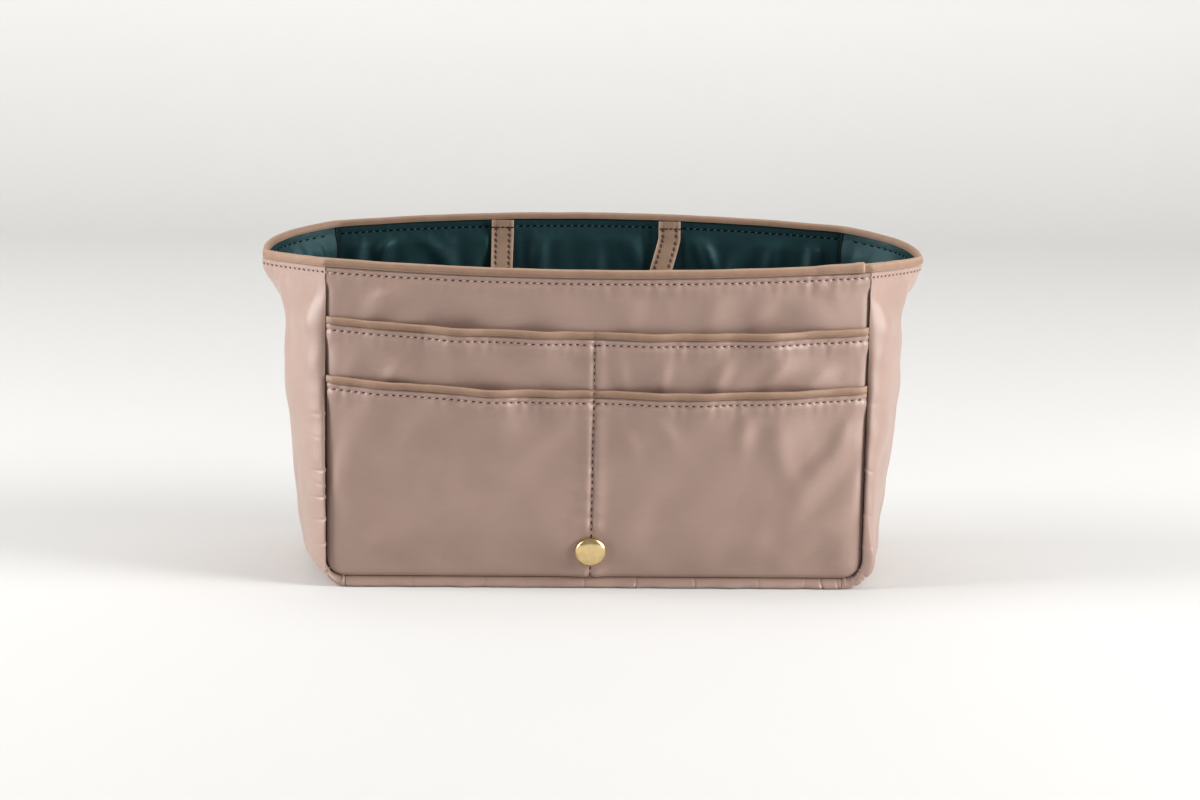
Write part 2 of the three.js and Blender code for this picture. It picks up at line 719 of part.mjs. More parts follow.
addPart('base_board', baseLayer(acrossBoard, 1, paddingInset, paddingEnd, false), materials.board);
addPart('front_lining', liningPanel(-1), materials.lining);
addPart('back_lining', liningPanel(1), materials.lining);
const baseLining = baseLayer(acrossPlain, baseLiningColumns, liningInset, wallThickness, false);
addPart('base_lining', baseLining, materials.lining);
for (const [name, hand] of [['left', -1], ['right', 1]]) {
  addPart(`${name}_padding`, layerGusset(hand, [paddingDrop], paddingOuter, paddingInner), materials.padding);
  addPart(`${name}_lining`, layerGusset(hand, wallDepths, liningStart, liningInner), materials.lining);
}
for (const [name, side] of [['front', -1], ['back', 1]]) {
  addPart(`${name}_handle_left_end`, strapEnd(side, handleLeftEnd), materials.binding);
  addPart(`${name}_handle_right_end`, strapEnd(side, handleRightEnd), materials.binding);
  addPart(`${name}_handle`, handleLoop(side), materials.binding);
}
addPart('stud', studGeometry(), materials.metal, stud);
addPart('stud_washer', washerGeometry(), materials.metal, stud);
group.add(stud);

export default group;
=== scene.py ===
import math
from functools import partial

import bpy
import numpy as np
from mathutils import Matrix, Vector


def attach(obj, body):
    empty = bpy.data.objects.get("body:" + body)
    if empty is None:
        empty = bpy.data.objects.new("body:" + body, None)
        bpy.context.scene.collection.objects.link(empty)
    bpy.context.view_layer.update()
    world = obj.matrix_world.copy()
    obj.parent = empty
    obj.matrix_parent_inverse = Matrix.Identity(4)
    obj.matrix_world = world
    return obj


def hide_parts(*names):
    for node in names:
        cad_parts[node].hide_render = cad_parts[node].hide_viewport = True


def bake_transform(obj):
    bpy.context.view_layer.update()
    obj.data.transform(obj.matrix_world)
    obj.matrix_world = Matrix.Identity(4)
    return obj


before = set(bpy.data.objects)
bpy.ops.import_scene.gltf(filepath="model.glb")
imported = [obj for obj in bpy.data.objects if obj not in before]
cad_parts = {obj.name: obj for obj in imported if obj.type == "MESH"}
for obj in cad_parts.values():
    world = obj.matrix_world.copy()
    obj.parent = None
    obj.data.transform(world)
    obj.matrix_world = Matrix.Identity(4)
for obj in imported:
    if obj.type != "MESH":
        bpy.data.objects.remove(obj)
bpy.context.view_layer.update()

# All sizes are millimetres, as in the part's source, and the meshes are made in metres.
# x runs to the right, y to the back and z up. side is -1 for the front and 1 for the back,
# hand is -1 for the left and 1 for the right, and u runs from -1 to 1 across a gusset or the base.
MM = 0.001
walls = {"front": -1, "back": 1}
hands = {"left": -1, "right": 1}

half_width = 147.4
half_depth = 63.5
seam_height = 5.6
corner_radius = 11.0
corner_top = seam_height + corner_radius
# The run down a side that counts as one turn of its corner, and a gusset's run from its middle to its seam
corner_arc = 29.0
gusset_arc = half_depth * 1.15
corner_height = {-1: 181.0, 1: 184.0}
middle_height = {-1: 178.2, 1: 188.2}
rim_bow = {-1: 16.0, 1: 17.0}
tip_height = 176.4
tip_reach = 36.4
tip_rounding = 0.07
roll_tuck = 0.6
roll_share = {-1: 1.0, 1: 0.85}

fabric = 0.6
layer_gap = 0.3
padding_inset = 0.9
padding_end = 2.3
padding_drop = 17.0
lining_inset = 2.6
lining = 0.5
strap_tuck_end = 10.4
lining_tuck_start = 6.8
wall_top_drop = 1.1

binding = 0.8
binding_height = 4.4
inner_leg = 3.6
pocket_binding_height = 3.8
row_below_binding = 3.4
rim_row = binding_height + row_below_binding
mouth_row = pocket_binding_height + row_below_binding

middle_mouth = 147.7
front_mouth = 115.6
mouth_sag = 3.2
mouth_tilt = 1.8
mouth_tuck = 16.0
pocket_sheet = 0.5
pocket_gape = 8.0
pocket_side_gap = 0.35
divider = -2.4
edge_x = half_width - pocket_side_gap

strap_width = 12.6
strap_thickness = 1.6
half_strap = strap_thickness / 2
handle_left = -50.0
handle_right = 46.6
handle_drop = 101.0
handle_swing = -12.0
sewn_line_drop = 10.9
strap_row = 3.8

stud_x = -2.6
stud_z = 21.5
stud_radius = 8.6

front_pitch = 3.95
gusset_pitch = 5.0
divider_pitch = 3.8
strap_pitch = 3.3
thread_radius = 0.27


def smooth(value):
    value = np.clip(value, 0.0, 1.0)
    return value * value * (3 - 2 * value)


def mix(a, b, t):
    return a + (b - a) * t


def hump(distance, width):
    return np.exp(-((distance / width) ** 2))


def xyz(x, y, z):
    return np.stack(np.broadcast_arrays(x, y, z), -1)


# The shape of the walls


def panel_rim(side, x):
    return mix(corner_height[side], middle_height[side], 1 - (x / half_width) ** 2)


def gusset_rim(u):
    corner = np.where(u < 0, corner_height[-1], corner_height[1])
    return mix(tip_height, corner, np.abs(u) ** 1.3)


def lining_start(depth):
    """How far in the lining lies, for the straps that are sewn on it."""
    tuck = smooth((depth - lining_tuck_start) / (strap_tuck_end - lining_tuck_start))
    return mix(padding_inset, lining_inset, tuck)


def lining_line(depth):
    """The lining's own soft slope from the rim down over the padding's top edge."""
    return mix(padding_inset, lining_inset, smooth((depth - 4.5) / 13))


def panel_bow(side, x, z):
    rise = np.maximum(0, z / panel_rim(side, 0.0)) ** 1.5
    ramp = smooth((z - seam_height) / 30)
    return mix(5.0, rim_bow[side], rise) * ramp * np.maximum(0, 1 - (x / half_width) ** 2)


def panel_point(side, x, z, inset, lift=0.0):
    return xyz(x, side * (half_depth - inset + panel_bow(side, x, z) + lift), z)


def panel_bottom(x, inset):
    radius = corner_radius - inset
    past = np.maximum(0, np.abs(x) - (half_width - corner_radius))
    return seam_height + inset + radius - np.sqrt(np.maximum(0, radius**2 - past**2))


def gusset_bulge(u, z):
    """How far a side stands out past the seams: full below, pinched to a tip at the rim."""
    far = np.abs(u)
    around = np.maximum(0, 1 - far**2.6) ** 0.625
    soft = np.hypot(far, tip_rounding) - tip_rounding
    towards_seam = soft / (math.hypot(1, tip_rounding) - tip_rounding)
    tent = 1 - towards_seam ** np.where(u > 0, 2.6, 1.0)
    side = mix(14.6, 23.4, smooth((z - seam_height) / 110))
    crease = 2.6 * hump(u, 0.3) * smooth(z / 110)
    return mix(side * around - crease, tip_reach * tent, smooth((z - 142) / 28))


def base_bulge(u):
    past = np.maximum(0, np.abs(u) - 0.92) / 0.08
    return seam_height * np.sqrt(np.maximum(0, 1 - past**2))


def roll_bump(u):
    """How far the soft roll beside a seam stands out past the seam."""
    reach = (1 - np.abs(u)) / 0.06
    return np.sign(u) * 6.0 * reach**0.6 * np.exp(0.6 * (1 - reach))


def side_change(hand, u, z):
    """How each side's outline differs from the part's even one."""
    across = 1 - np.abs(u) ** 4
    if hand < 0:
        return -1.8 * smooth((36 - z) / 22) * across
    narrow = 1.5 * hump(z - 155.5, 6) - 1.6 * hump(z - 165, 5)
    low = -2.4 * hump(z - 26, 24) - 0.8 * hump(z - 90, 14)
    return narrow * hump(u, 0.3) - 2.1 * hump(z - 144, 11) * hump(u + 0.1, 0.5) + low * across


def corner_swell(hand, u, turn):
    """The fuller roll round the right side's lower corners; turn is below 0 above the corner."""
    if hand < 0:
        return 0.0
    spread = np.where(turn < 0.2, 1.0, 0.3)
    swell = 5.3 * hump((turn - 0.2) / spread, 1.0) + 1.1 * hump(turn - 0.6, 0.15)
    u = np.abs(u)
    return swell * hump(u - 0.93, 0.065) * (1 - smooth((u - 0.955) / 0.045))


def side_point(hand, u, z, inset, rolled=0.0, lift=0.0):
    """A point of a side above its lower corner. rolled is 1 for the outer cloth, which has the rolls."""
    roll = rolled * roll_bump(u) * smooth((gusset_rim(u) - z - 14) / 100) * roll_share[hand]
    swell = rolled * corner_swell(hand, u, (corner_top - z) / corner_arc)
    reach = gusset_bulge(u, z) + side_change(hand, u, z) - inset + lift + swell - roll_tuck * np.abs(roll)
    return xyz(hand * (half_width + reach), u * (half_depth - inset) + roll, z)


def corner_point(hand, u, turn, inset, rolled=0.0, lift=0.0):
    """A point of a side's lower corner. turn runs from 0 at its top to 1 underneath."""
    angle = turn * math.pi / 2
    settled = smooth(turn) ** (1.7 if hand > 0 else 0.75)
    bulge = mix(gusset_bulge(u, corner_top) + side_change(hand, u, corner_top), base_bulge(u), settled)
    to_ground = (corner_radius + base_bulge(u)) / np.sin(np.maximum(angle, 0.1))
    reach = np.minimum(corner_radius + bulge, to_ground) - inset
    reach = reach + np.maximum(lift, 0) * (1 - smooth((turn - 0.5) / 0.5))
    reach = reach + np.minimum(lift, 0) * (1 - smooth((turn - 0.94) / 0.06))
    roll = rolled * roll_bump(u) * mix(roll_share[hand], 1.0, smooth(turn))
    reach = reach + rolled * corner_swell(hand, u, turn) - roll_tuck * np.abs(roll) * (1 - smooth(turn))
    x = half_width - corner_radius + reach * np.cos(angle)
    return xyz(hand * x, u * (half_depth - inset) + roll, corner_top - reach * np.sin(angle))


def base_point(u, x, inset, rolled=0.0):
    y = u * (half_depth - inset) + rolled * roll_bump(u)
    return xyz(x, y, seam_height - base_bulge(u) + inset)


def mouth_height(end, x):
    along = x / half_width
    return end - mouth_sag * (1 - along**2) - mouth_tilt * along


def cell_shape(x):
    """How freely a pocket stands out between the divider and its side seams."""
    left = (x + half_width) / (divider + half_width)
    right = (half_width - x) / (half_width - divider)
    half = np.clip(np.where(x < divider, left, right), 0, 1)
    return np.sin(math.pi * half) ** 1.2


# Where along its mouth a pocket stands open: centre, half width and share
gapes = {
    middle_mouth: [(-121, 9, 0.4), (-77, 13, 0.9), (-31, 11, 1), (9, 7, 0.5), (26, 14, 1), (60, 10, 0.35),
                   (94, 15, 1)],
    front_mouth: [(-120, 11, 0.8), (-58, 14, 1), (-20, 11, 1), (8, 8, 0.7), (30, 13, 1), (55, 11, 0.6),
                  (101, 15, 0.5)],
}


def pocket_gap(end, x, z):
    mouth = mouth_height(end, x)
    gaping = np.clip(sum(share * hump(x - centre, width) for centre, width, share in gapes[end]), 0, 1)
    tuck = smooth(1 - (mouth - z - 4.2) / mouth_tuck)
    opened = np.clip((z - seam_height) / (mouth - seam_height), 0, 1) ** 2
    loose = mix(0.72, 0.16 + 0.84 * gaping, smooth(1 - (mouth - z - 4) / 26))
    return mix(layer_gap, 1.4, tuck) + pocket_gape * cell_shape(x) * opened * loose


# Folds, puckers and the troughs that stitches pull


def ripple(values, seed, low, high, count=9):
    """An uneven wave along values, with wavelengths from low to high, about 1 at most."""
    local = np.random.default_rng(seed)
    out = 0.0
    for _ in range(count):
        length = local.uniform(low, high)
        out = out + np.sin(2 * math.pi * (values / length + local.random()))
    return out / (0.7 * count**0.5 * 2)


def swells(x, z, seed, low, high):
    """Broad soft unevenness of padding under cloth, about 1 at most."""
    local = np.random.default_rng(seed)
    out = 0.0
    for _ in range(12):
        turn, length, start = local.uniform(0, math.pi), local.uniform(low, high), local.random()
        out = out + np.sin(2 * math.pi * ((x * math.cos(turn) + z * math.sin(turn)) / length + start))
    return out / 4.0


def folds(x, z, table, spread=1.0):
    """Soft ridges. Each row is centre x, centre z, angle in degrees, half length, half width and height."""
    out = 0.0
    for cx, cz, degrees, length, width, height in table:
        c, s = math.cos(math.radians(degrees)), math.sin(math.radians(degrees))
        along = (x - cx) * c + (z - cz) * s
        across = -(x - cx) * s + (z - cz) * c + along**2 * 0.006
        out = out + height * hump(across, width * spread) * hump(along, length * spread)
    return out


def row_lift(across, along, pitch, seed, shoulder=0.75):
    """How far cloth stands up beside a stitch row, and how far the stitches pull it down."""
    puff = shoulder * (1 - hump(across, 1.7)) * hump(np.abs(across) - 2.0, 4.2)
    trough = -(0.12 + 0.55 * np.cos(math.pi * along / pitch) ** 2) * hump(across, 0.8)
    pucker = 0.3 * ripple(along, seed, 4.5, 11) * (1 - hump(across, 1.4)) * hump(across, 6.0)
    pucker = pucker + 0.4 * ripple(along, seed + 1, 9, 26) * hump(across + 9.0, 7.0)
    return 0.42 * hump(across, 6.5) + puff + trough + pucker


upper_folds = [
    (-117.5, 158.5, 42, 13, 5.4, 1.5), (-100.5, 150, 40, 12, 5.4, 1.5), (16, 151, 72, 9, 5.5, 0.8),
    (61.5, 156, 62, 9, 5.5, 1), (86.4, 153, 60, 9, 5, 1.1), (112, 158, -28, 16, 6.5, 1.3),
    (-70, 154, 30, 14, 5, 0.5), (-30, 156, 15, 16, 5, 0.4), (128, 163, -55, 8, 3.5, 0.3),
    (-136, 150, 70, 12, 4, 0.4), (36, 160, 100, 7, 3.5, 0.4),
]
middle_folds = [
    (-110, 119, 52, 9, 4.2, 1.4), (34, 120, 78, 8, 3.4, 1.2), (65, 119, 66, 9, 3.6, 1.4),
    (96, 122, 52, 10, 4, 1.4), (-80, 120, 60, 8, 5, 0.6), (-132, 124, 65, 8, 4, 0.7),
    (120, 119, 40, 9, 4, 0.8), (12, 122, 100, 7, 3, 0.7), (-45, 122, 20, 12, 4.5, 0.4),
]
lower_folds = [
    (16, 86, -62, 9, 4.2, 1), (37, 90, -58, 8, 4, 0.9), (79, 88, 80, 9, 4, 1),
    (99, 79, 102, 15, 5.5, 1.3), (118, 62, 54, 27, 6, 1.7), (117, 33, 30, 17, 6, 1.1),
    (60, 60, 50, 20, 8, 0.8), (-134, 70, 78, 20, 6.5, 0.7), (-100, 87, 60, 8, 4, 0.5),
    (-128, 48, -42, 18, 7, 0.6), (-80, 42, 28, 20, 7, 0.9), (-34, 80, 28, 12, 4.5, 0.8),
    (-60, 68, -20, 22, 9, 0.7), (70, 26, 8, 30, 6, 0.7), (-110, 22, -14, 24, 6, 0.6),
    (134, 88, 68, 10, 4, 0.9), (24, 44, 62, 16, 7, 0.6),
]
back_folds = [
    (-100, 120, 58, 26, 8, 1.4), (-30, 150, 70, 16, 6, 1), (60, 110, -50, 30, 9, 1.3),
    (110, 60, 65, 24, 8, 1.2), (0, 70, 12, 40, 9, 0.9), (-120, 45, -35, 22, 7, 1),
    (35, 162, 82, 8, 4, 0.7), (-75, 165, 70, 7, 4, 0.6), (95, 160, 60, 9, 4.5, 0.8),
]
lining_folds = [
    (-118, 168, 62, 10, 4, 1.6), (-88, 166, -55, 12, 4.5, 1.5), (-105, 152, 50, 16, 6, 1.6),
    (-66, 158, 80, 16, 5, 1), (-28, 166, 68, 12, 5, 1.2), (4, 158, 82, 18, 6, 1.1),
    (24, 168, -70, 9, 4, 0.9), (68, 166, -62, 12, 4, 1.9), (84, 156, 58, 14, 5, 1.4),
    (106, 164, 76, 12, 4.5, 1.3), (128, 160, 84, 14, 4, 1.3), (-134, 158, 84, 16, 4.5, 1.2),
    (-40, 120, 74, 30, 9, 1.4), (50, 118, -66, 30, 9, 1.4), (110, 112, 70, 28, 8, 1.2),
    (-110, 108, -68, 28, 8, 1.4), (0, 60, 60, 34, 10, 1.2), (80, 50, -40, 30, 9, 1.1),
    (-80, 46, 38, 30, 9, 1.1),
]


def soft_floor(value, low=-0.25):
    """Keeps cloth from sinking into the padding behind it."""
    return low + np.logaddexp(0, (value - low) * 4) / 4


def binding_pinch(below):
    """The cloth's dip right under a binding's edge."""
    return -0.35 * hump(below - 0.35, 0.6)


def edge_dive(distance, depth=1.7, width=0.8):
    return -depth * hump(np.maximum(distance, 0), width)


def seam_room(x, z):
    """How much wider the seams' grooves are towards the base, the left one more."""
    return np.where(x < 0, 0.7, 0.15) * smooth((162 - z) / 80)


def beside_seam(x, z):
    return edge_x - seam_room(x, z) - np.abs(x)


def drawn_in(x, z):
    """Walls' columns with their side edges moved in by the grooves' room."""
    return x - np.sign(x) * seam_room(x, z) * smooth((np.abs(x) - edge_x + 8) / 8)


def wall_lift(side, x, z):
    depth = panel_rim(side, x) - z
    beside = beside_seam(x, z)
    below = depth - binding_height
    lift = row_lift(depth - rim_row, x, front_pitch, 11 + side) * smooth(below / 1.3) + binding_pinch(below)
    away = smooth((depth - rim_row - 1) / 9) * smooth(beside / 8)
    if side < 0:
        over = z - mouth_height(middle_mouth, x)
        lift = lift * smooth((over + 10) / 8)
        broad = 0.9 * swells(x, z, 3, 28, 75) * smooth((z - seam_height) / 16)
        loose = 1.8 * folds(x, z, upper_folds, 1.25) * smooth((over + 6) / 8) + broad
    else:
        away = away * smooth((z - seam_height) / 14)
        loose = 0.5 * ripple(x + 0.6 * z, 5, 30, 80, 6) + 0.9 * swells(x, z, 8, 24, 70)
        loose = loose + 2.1 * folds(x, z, back_folds) + 0.5
    swell = 0.35 * smooth(beside / 12) * smooth(below / 3)
    rounded = edge_dive(beside, 1.1, 0.9) + edge_dive(beside, 1.1, 2.8)
    bottom = z - panel_bottom(x, pocket_side_gap)
    dive = np.minimum(rounded * smooth((depth - 7.5) / 12), edge_dive(bottom, 1.5, 0.9))
    return lift + soft_floor(loose) * away + swell + dive


def pocket_lift(end, x, z, table, seed):
    below = mouth_height(end, x) - z
    under = below - pocket_binding_height
    beside = beside_seam(x, z)
    bottom = z - panel_bottom(x, pocket_side_gap)
    from_divider = x - divider
    lift = row_lift(below - mouth_row, x, front_pitch, seed) * smooth(under / 1.3) + binding_pinch(under)
    away = smooth((below - mouth_row - 1) / 8) * smooth(beside / 7) * smooth(bottom / 9)
    away = away * smooth((np.abs(from_divider) - 1.5) / 9)
    loose = 1.6 * folds(x, z, table, 1.25) + 0.45 * swells(x, z, seed + 5, 22, 56)
    divided = row_lift(from_divider, z, divider_pitch, 21, 0.9) - 0.35 * hump(from_divider, 3)
    lift = lift + np.maximum(loose, -0.2) * away + divided * smooth(under / 1.5)
    swell = 0.5 * smooth(beside / 14) * smooth(bottom / 5) * smooth((below - 3) / 4)
    return lift + swell + edge_dive(beside, 0.2) + edge_dive(bottom, 0.2, 1.4)


def middle_out(x, z):
    """How far the middle pocket's face stands out past the front seams' plane."""
    covered = smooth((mouth_height(front_mouth, x) - z + 4) / 10)
    own = pocket_lift(middle_mouth, x, z, middle_folds, 31) * (1 - 0.85 * covered)
    return wall_lift(-1, x, z) + pocket_gap(middle_mouth, x, z) + pocket_sheet + own


def front_out(x, z):
    """The same for the front pocket, which lies flat round the stud."""
    clear = smooth((np.hypot(x - stud_x, z - stud_z) - stud_radius - 0.4) / 5)
    own = mix(0.25, pocket_lift(front_mouth, x, z, lower_folds, 41), clear)
    return middle_out(x, z) + pocket_gap(front_mouth, x, z) + pocket_sheet + own


# Meshes


def make_object(name, points, faces, material, body="shell", uv=None, sharp=38):
    """A piece from points in millimetres and arrays of faces, attached to its body when one is given."""
    mesh = bpy.data.meshes.new(name)
    corners = np.concatenate([f.ravel() for f in faces])
    sizes = np.concatenate([np.full(len(f), f.shape[1]) for f in faces])
    mesh.vertices.add(len(points))
    mesh.vertices.foreach_set("co", (points * MM).astype(np.float32).ravel())
    mesh.loops.add(len(corners))
    mesh.loops.foreach_set("vertex_index", corners.astype(np.int32))
    mesh.polygons.add(len(sizes))
    mesh.polygons.foreach_set("loop_start", (np.cumsum(sizes) - sizes).astype(np.int32))
    mesh.update(calc_edges=True)
    mesh.validate()
    if uv is not None:
        layer = mesh.uv_layers.new(name="cloth")
        layer.data.foreach_set("uv", (uv * MM)[corners].astype(np.float32).ravel())
    mesh.polygons.foreach_set("use_smooth", np.ones(len(sizes), bool))
    if sharp:
        mesh.set_sharp_from_angle(angle=math.radians(sharp))
    mesh.materials.append(material)
    obj = bpy.data.objects.new(name, mesh)
    bpy.context.scene.collection.objects.link(obj)
    if body:
        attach(obj, body)
    return obj


def face_out(points, quads):
    """Turns the faces of a closed mesh outwards."""
    a, b, c, d = (points[quads[:, k]] for k in range(4))
    volume = sum((a * np.cross(q, r)).sum() for q, r in ((b, c), (c, d)))
    return quads[:, ::-1] if volume < 0 else quads


def lengths(line):
    """The distance along a line at each of its points."""
    return np.concatenate([[0], np.cumsum(np.linalg.norm(np.diff(line, axis=0), axis=1))])


def spaced(marks, steps):
    """Rising values through the marks, each stretch divided at about its own step."""
    out = [np.array([marks[0]])]
    for low, high, step in zip(marks, marks[1:], steps):
        out.append(np.linspace(low, high, max(2, int(math.ceil((high - low) / step)) + 1))[1:])
    return np.concatenate(out)


def shell(name, outer, inner, material):
    """A closed sheet between two grids of points, with distances along the cloth for its weave."""
    rows, columns = outer.shape[:2]
    count = rows * columns
    points = np.concatenate([outer.reshape(-1, 3), inner.reshape(-1, 3)])
    i, j = np.arange(rows - 1)[:, None] * columns, np.arange(columns - 1)
    front = np.stack([i + j, i + j + 1, i + columns + j + 1, i + columns + j], -1).reshape(-1, 4)
    ring = np.concatenate([
        np.arange(columns),
        np.arange(1, rows) * columns + columns - 1,
        (rows - 1) * columns + np.arange(columns - 2, -1, -1),
        np.arange(rows - 2, 0, -1) * columns,
    ])
    onward = np.roll(ring, -1)
    edge = np.stack([ring, ring + count, onward + count, onward], -1)
    quads = face_out(points, np.concatenate([front, front[:, ::-1] + count, edge]))
    across, down = (np.linalg.norm(np.diff(outer, axis=k), axis=2).mean(1 - k) for k in (1, 0))
    u, v = (np.concatenate([[0], np.cumsum(steps)]) for steps in (across, down))
    uv = np.stack(np.meshgrid(u, v), -1).reshape(-1, 2)
    return make_object(name, points, [quads], material, uv=np.concatenate([uv, uv]))


def thick_grid(grid, distance):
    """A grid moved along its own normals."""
    normal = np.cross(np.gradient(grid, axis=0), np.gradient(grid, axis=1))
    normal /= np.maximum(np.linalg.norm(normal, axis=2, keepdims=True), 1e-9)
    return grid + normal * distance


def tube_faces(points, count, sides, copies=1, closed=False, shift=0):
    """Quads round rings of points and the caps at their ends, turned outwards."""
    base = (np.arange(copies) * count * sides)[:, None, None]
    i = np.arange(count if closed else count - 1)[:, None]
    j = np.arange(sides)
    here, after, beside = base + i * sides, base + (i + 1) % count * sides, (j + 1) % sides
    quads = np.stack([here + j, after + j, after + beside, here + beside], -1).reshape(-1, 4)
    turned = face_out(points, quads)
    if closed:
        return [turned]
    first = base[:, 0] + j
    last = first + (count - 1) * sides
    same = (turned[0] == quads[0]).all()
    return [np.roll(turned, shift, 1), first if same else first[:, ::-1], last[:, ::-1] if same else last]


def swept(name, rings, wear_and_light, material, closed=False, along=None, body="shell"):
    """A strip from rings of points. worn says how far each point of a ring is lightened, for edge wear and,
    on the bindings' crowns, a painted highlight.
    """
    count, sides = rings.shape[:2]
    along = lengths(rings.mean(1)) if along is None else along
    step = np.linalg.norm(rings - np.roll(rings, -1, 1), axis=2).mean(0)
    uv = np.stack(np.broadcast_arrays(along[:, None], np.cumsum(step) - step), -1).reshape(-1, 2)
    points = rings.reshape(-1, 3)
    faces = tube_faces(points, count, sides, closed=closed)
    made = make_object(name, points, faces, material, body, uv)
    wear_and_highlight = made.data.attributes.new("wear_and_highlight", "FLOAT", "POINT")
    wear_and_highlight.data.foreach_set("value", np.broadcast_to(wear_and_light, (count, sides)).ravel().astype(np.float32))
    return made


def stands_for(made, nodes):
    """Hides the CAD node in whose place a sheet of cloth stands; made, the sheet, is not used."""
    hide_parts(nodes)


# Materials


def add(tree, kind, output, inputs, **props):
    """A new node's output. Inputs are values, or other nodes' outputs."""
    made = tree.nodes.new("ShaderNode" + kind)
    for key, value in props.items():
        setattr(made, key, value)
    for key, value in inputs.items():
        if isinstance(value, bpy.types.NodeSocket):
            tree.links.new(value, made.inputs[key])
        else:
            made.inputs[key].default_value = value
    return made.outputs[output] if output else None


def linear(r, g, b):
    channel = [c / 255 for c in (r, g, b)]
    return [c / 12.92 if c <= 0.04045 else ((c + 0.055) / 1.055) ** 2.4 for c in channel] + [1.0]


def start_material(name):
    material = bpy.data.materials.new(name)
    material.use_nodes = True
    material.node_tree.nodes.clear()
    return material, material.node_tree


def cloth_place(tree):
    return add(tree, "UVMap", "UV", {}, uv_map="cloth")


def object_place(tree):
    return add(tree, "TexCoord", "Object", {})


def end_material(tree, colour, rough, relief, more):
    """relief is a height with its strength and its depth in millimetres."""
    inputs = {"Base Color": colour, "Roughness": rough, **more}
    if relief:
        height, strength, depth = relief
        inputs["Normal"] = add(tree, "Bump", "Normal", {"Height": height, "Strength": strength,
                                                        "Distance": depth * MM})
    add(tree, "OutputMaterial", None, {"Surface": add(tree, "BsdfPrincipled", "BSDF", inputs)})


def band(tree, vector, direction, period):
    """Fine parallel ridges, one each period in millimetres."""
    inputs = {"Vector": vector, "Scale": 2 * math.pi / (20 * period * MM), "Distortion": 0.35,
              "Detail": 1.0, "Detail Scale": 0.4}
    return add(tree, "TexWave", "Fac", inputs, wave_type="BANDS", bands_direction=direction,
               wave_profile="SIN")


def calc(tree, operation, a, b):
    return add(tree, "Math", "Value", {0: a, 1: b}, operation=operation)


def scaled(tree, value, factor):
    return calc(tree, "MULTIPLY", value, factor)


def noise(tree, vector, size, detail=2.0, rough=0.5):
    """Cloudy variation with patches of about size millimetres."""
    return add(tree, "TexNoise", "Fac", {"Vector": vector, "Scale": 1 / (size * MM), "Detail": detail,
                                         "Roughness": rough})


def cells(tree, vector, size, **props):
    return add(tree, "TexVoronoi", "Distance", {"Vector": vector, "Scale": 1 / (size * MM)}, **props)


def tones(tree, fac, low, high, colours):
    """A ramp between the first two colours."""
    made = tree.nodes.new("ShaderNodeValToRGB")
    tree.links.new(fac, made.inputs["Fac"])
    for element, place, colour in zip(made.color_ramp.elements, (low, high), colours):
        element.position, element.color = place, linear(*colour)
    return made.outputs["Color"]


def spread(tree, fac, low, high):
    return add(tree, "MapRange", "Result", {"Value": fac, "To Min": low, "To Max": high})


def blended(tree, factor, a, b):
    return add(tree, "Mix", "Result", {"Factor": factor, "A": a, "B": linear(*b)}, data_type="RGBA")


def cloth_material(name, colours, weave, rough, sheen, weave_depth, specular=0.5, tint=(255, 255, 255)):
    """Woven satin: warp and weft ridges, slubs, soft colour patches and uneven gloss."""
    material, tree = start_material(name)
    uv = cloth_place(tree)
    cross = calc(tree, "MULTIPLY", band(tree, uv, "X", weave[0]), band(tree, uv, "Y", weave[1]))
    slub = noise(tree, uv, 1.6, 3.0, 0.6)
    streak = noise(tree, add(tree, "Mapping", "Vector", {"Vector": uv, "Scale": (0.25, 3.0, 1.0)}), 2.2)
    patch = noise(tree, object_place(tree), 34)
    blend = calc(tree, "ADD", scaled(tree, patch, 0.7), scaled(tree, streak, 0.3))
    tone = blended(tree, spread(tree, cross, 0.16, 0.0), tones(tree, blend, 0.3, 0.7, colours), colours[2])
    height = calc(tree, "ADD", cross, scaled(tree, slub, 0.9))
    end_material(tree, tone, spread(tree, slub, *rough), (height, 0.55, weave_depth),
                 {"Sheen Weight": sheen, "Sheen Roughness": 0.35, "Specular IOR Level": specular,
                  "Specular Tint": linear(*tint)})
    return material


def leather_material(name, colours, grain):
    """Matt coated strip: pebbled grain, fine pores and lighter patches on raised edges, which are wear and
    also a painted highlight on the lit side of the crown.
    """
    material, tree = start_material(name)
    uv = cloth_place(tree)
    pebbles = cells(tree, uv, grain, feature="SMOOTH_F1")
    fine = noise(tree, uv, grain * 0.6, 3.0, 0.65)
    patch = noise(tree, uv, 7.0, 3.0, 0.55)
    wear_and_highlight = add(tree, "Attribute", "Fac", {}, attribute_name="wear_and_highlight")
    rubbed_and_lit = calc(tree, "MULTIPLY", wear_and_highlight, spread(tree, patch, 0.35, 0.9))
    tone = blended(tree, rubbed_and_lit, tones(tree, patch, 0.3, 0.72, colours), colours[2])
    height = calc(tree, "ADD", scaled(tree, pebbles, 0.8), fine)
    end_material(tree, tone, spread(tree, fine, 0.45, 0.62), (height, 0.5, 0.07),
                 {"Specular IOR Level": 0.35})
    return material


def thread_material(name, colours, gloss=0.5, sheen=0.2):
    """Twisted thread: slanting plies across a matt core."""
    material, tree = start_material(name)
    turned = add(tree, "Mapping", "Vector", {"Vector": cloth_place(tree), "Rotation": (0, 0, 0.7)})
    plies = band(tree, turned, "X", 0.3)
    end_material(tree, tones(tree, plies, 0.1, 0.9, colours), spread(tree, plies, 0.62, 0.5),
                 (plies, 0.6, 0.06), {"Sheen Weight": sheen, "Specular IOR Level": gloss})
    return material


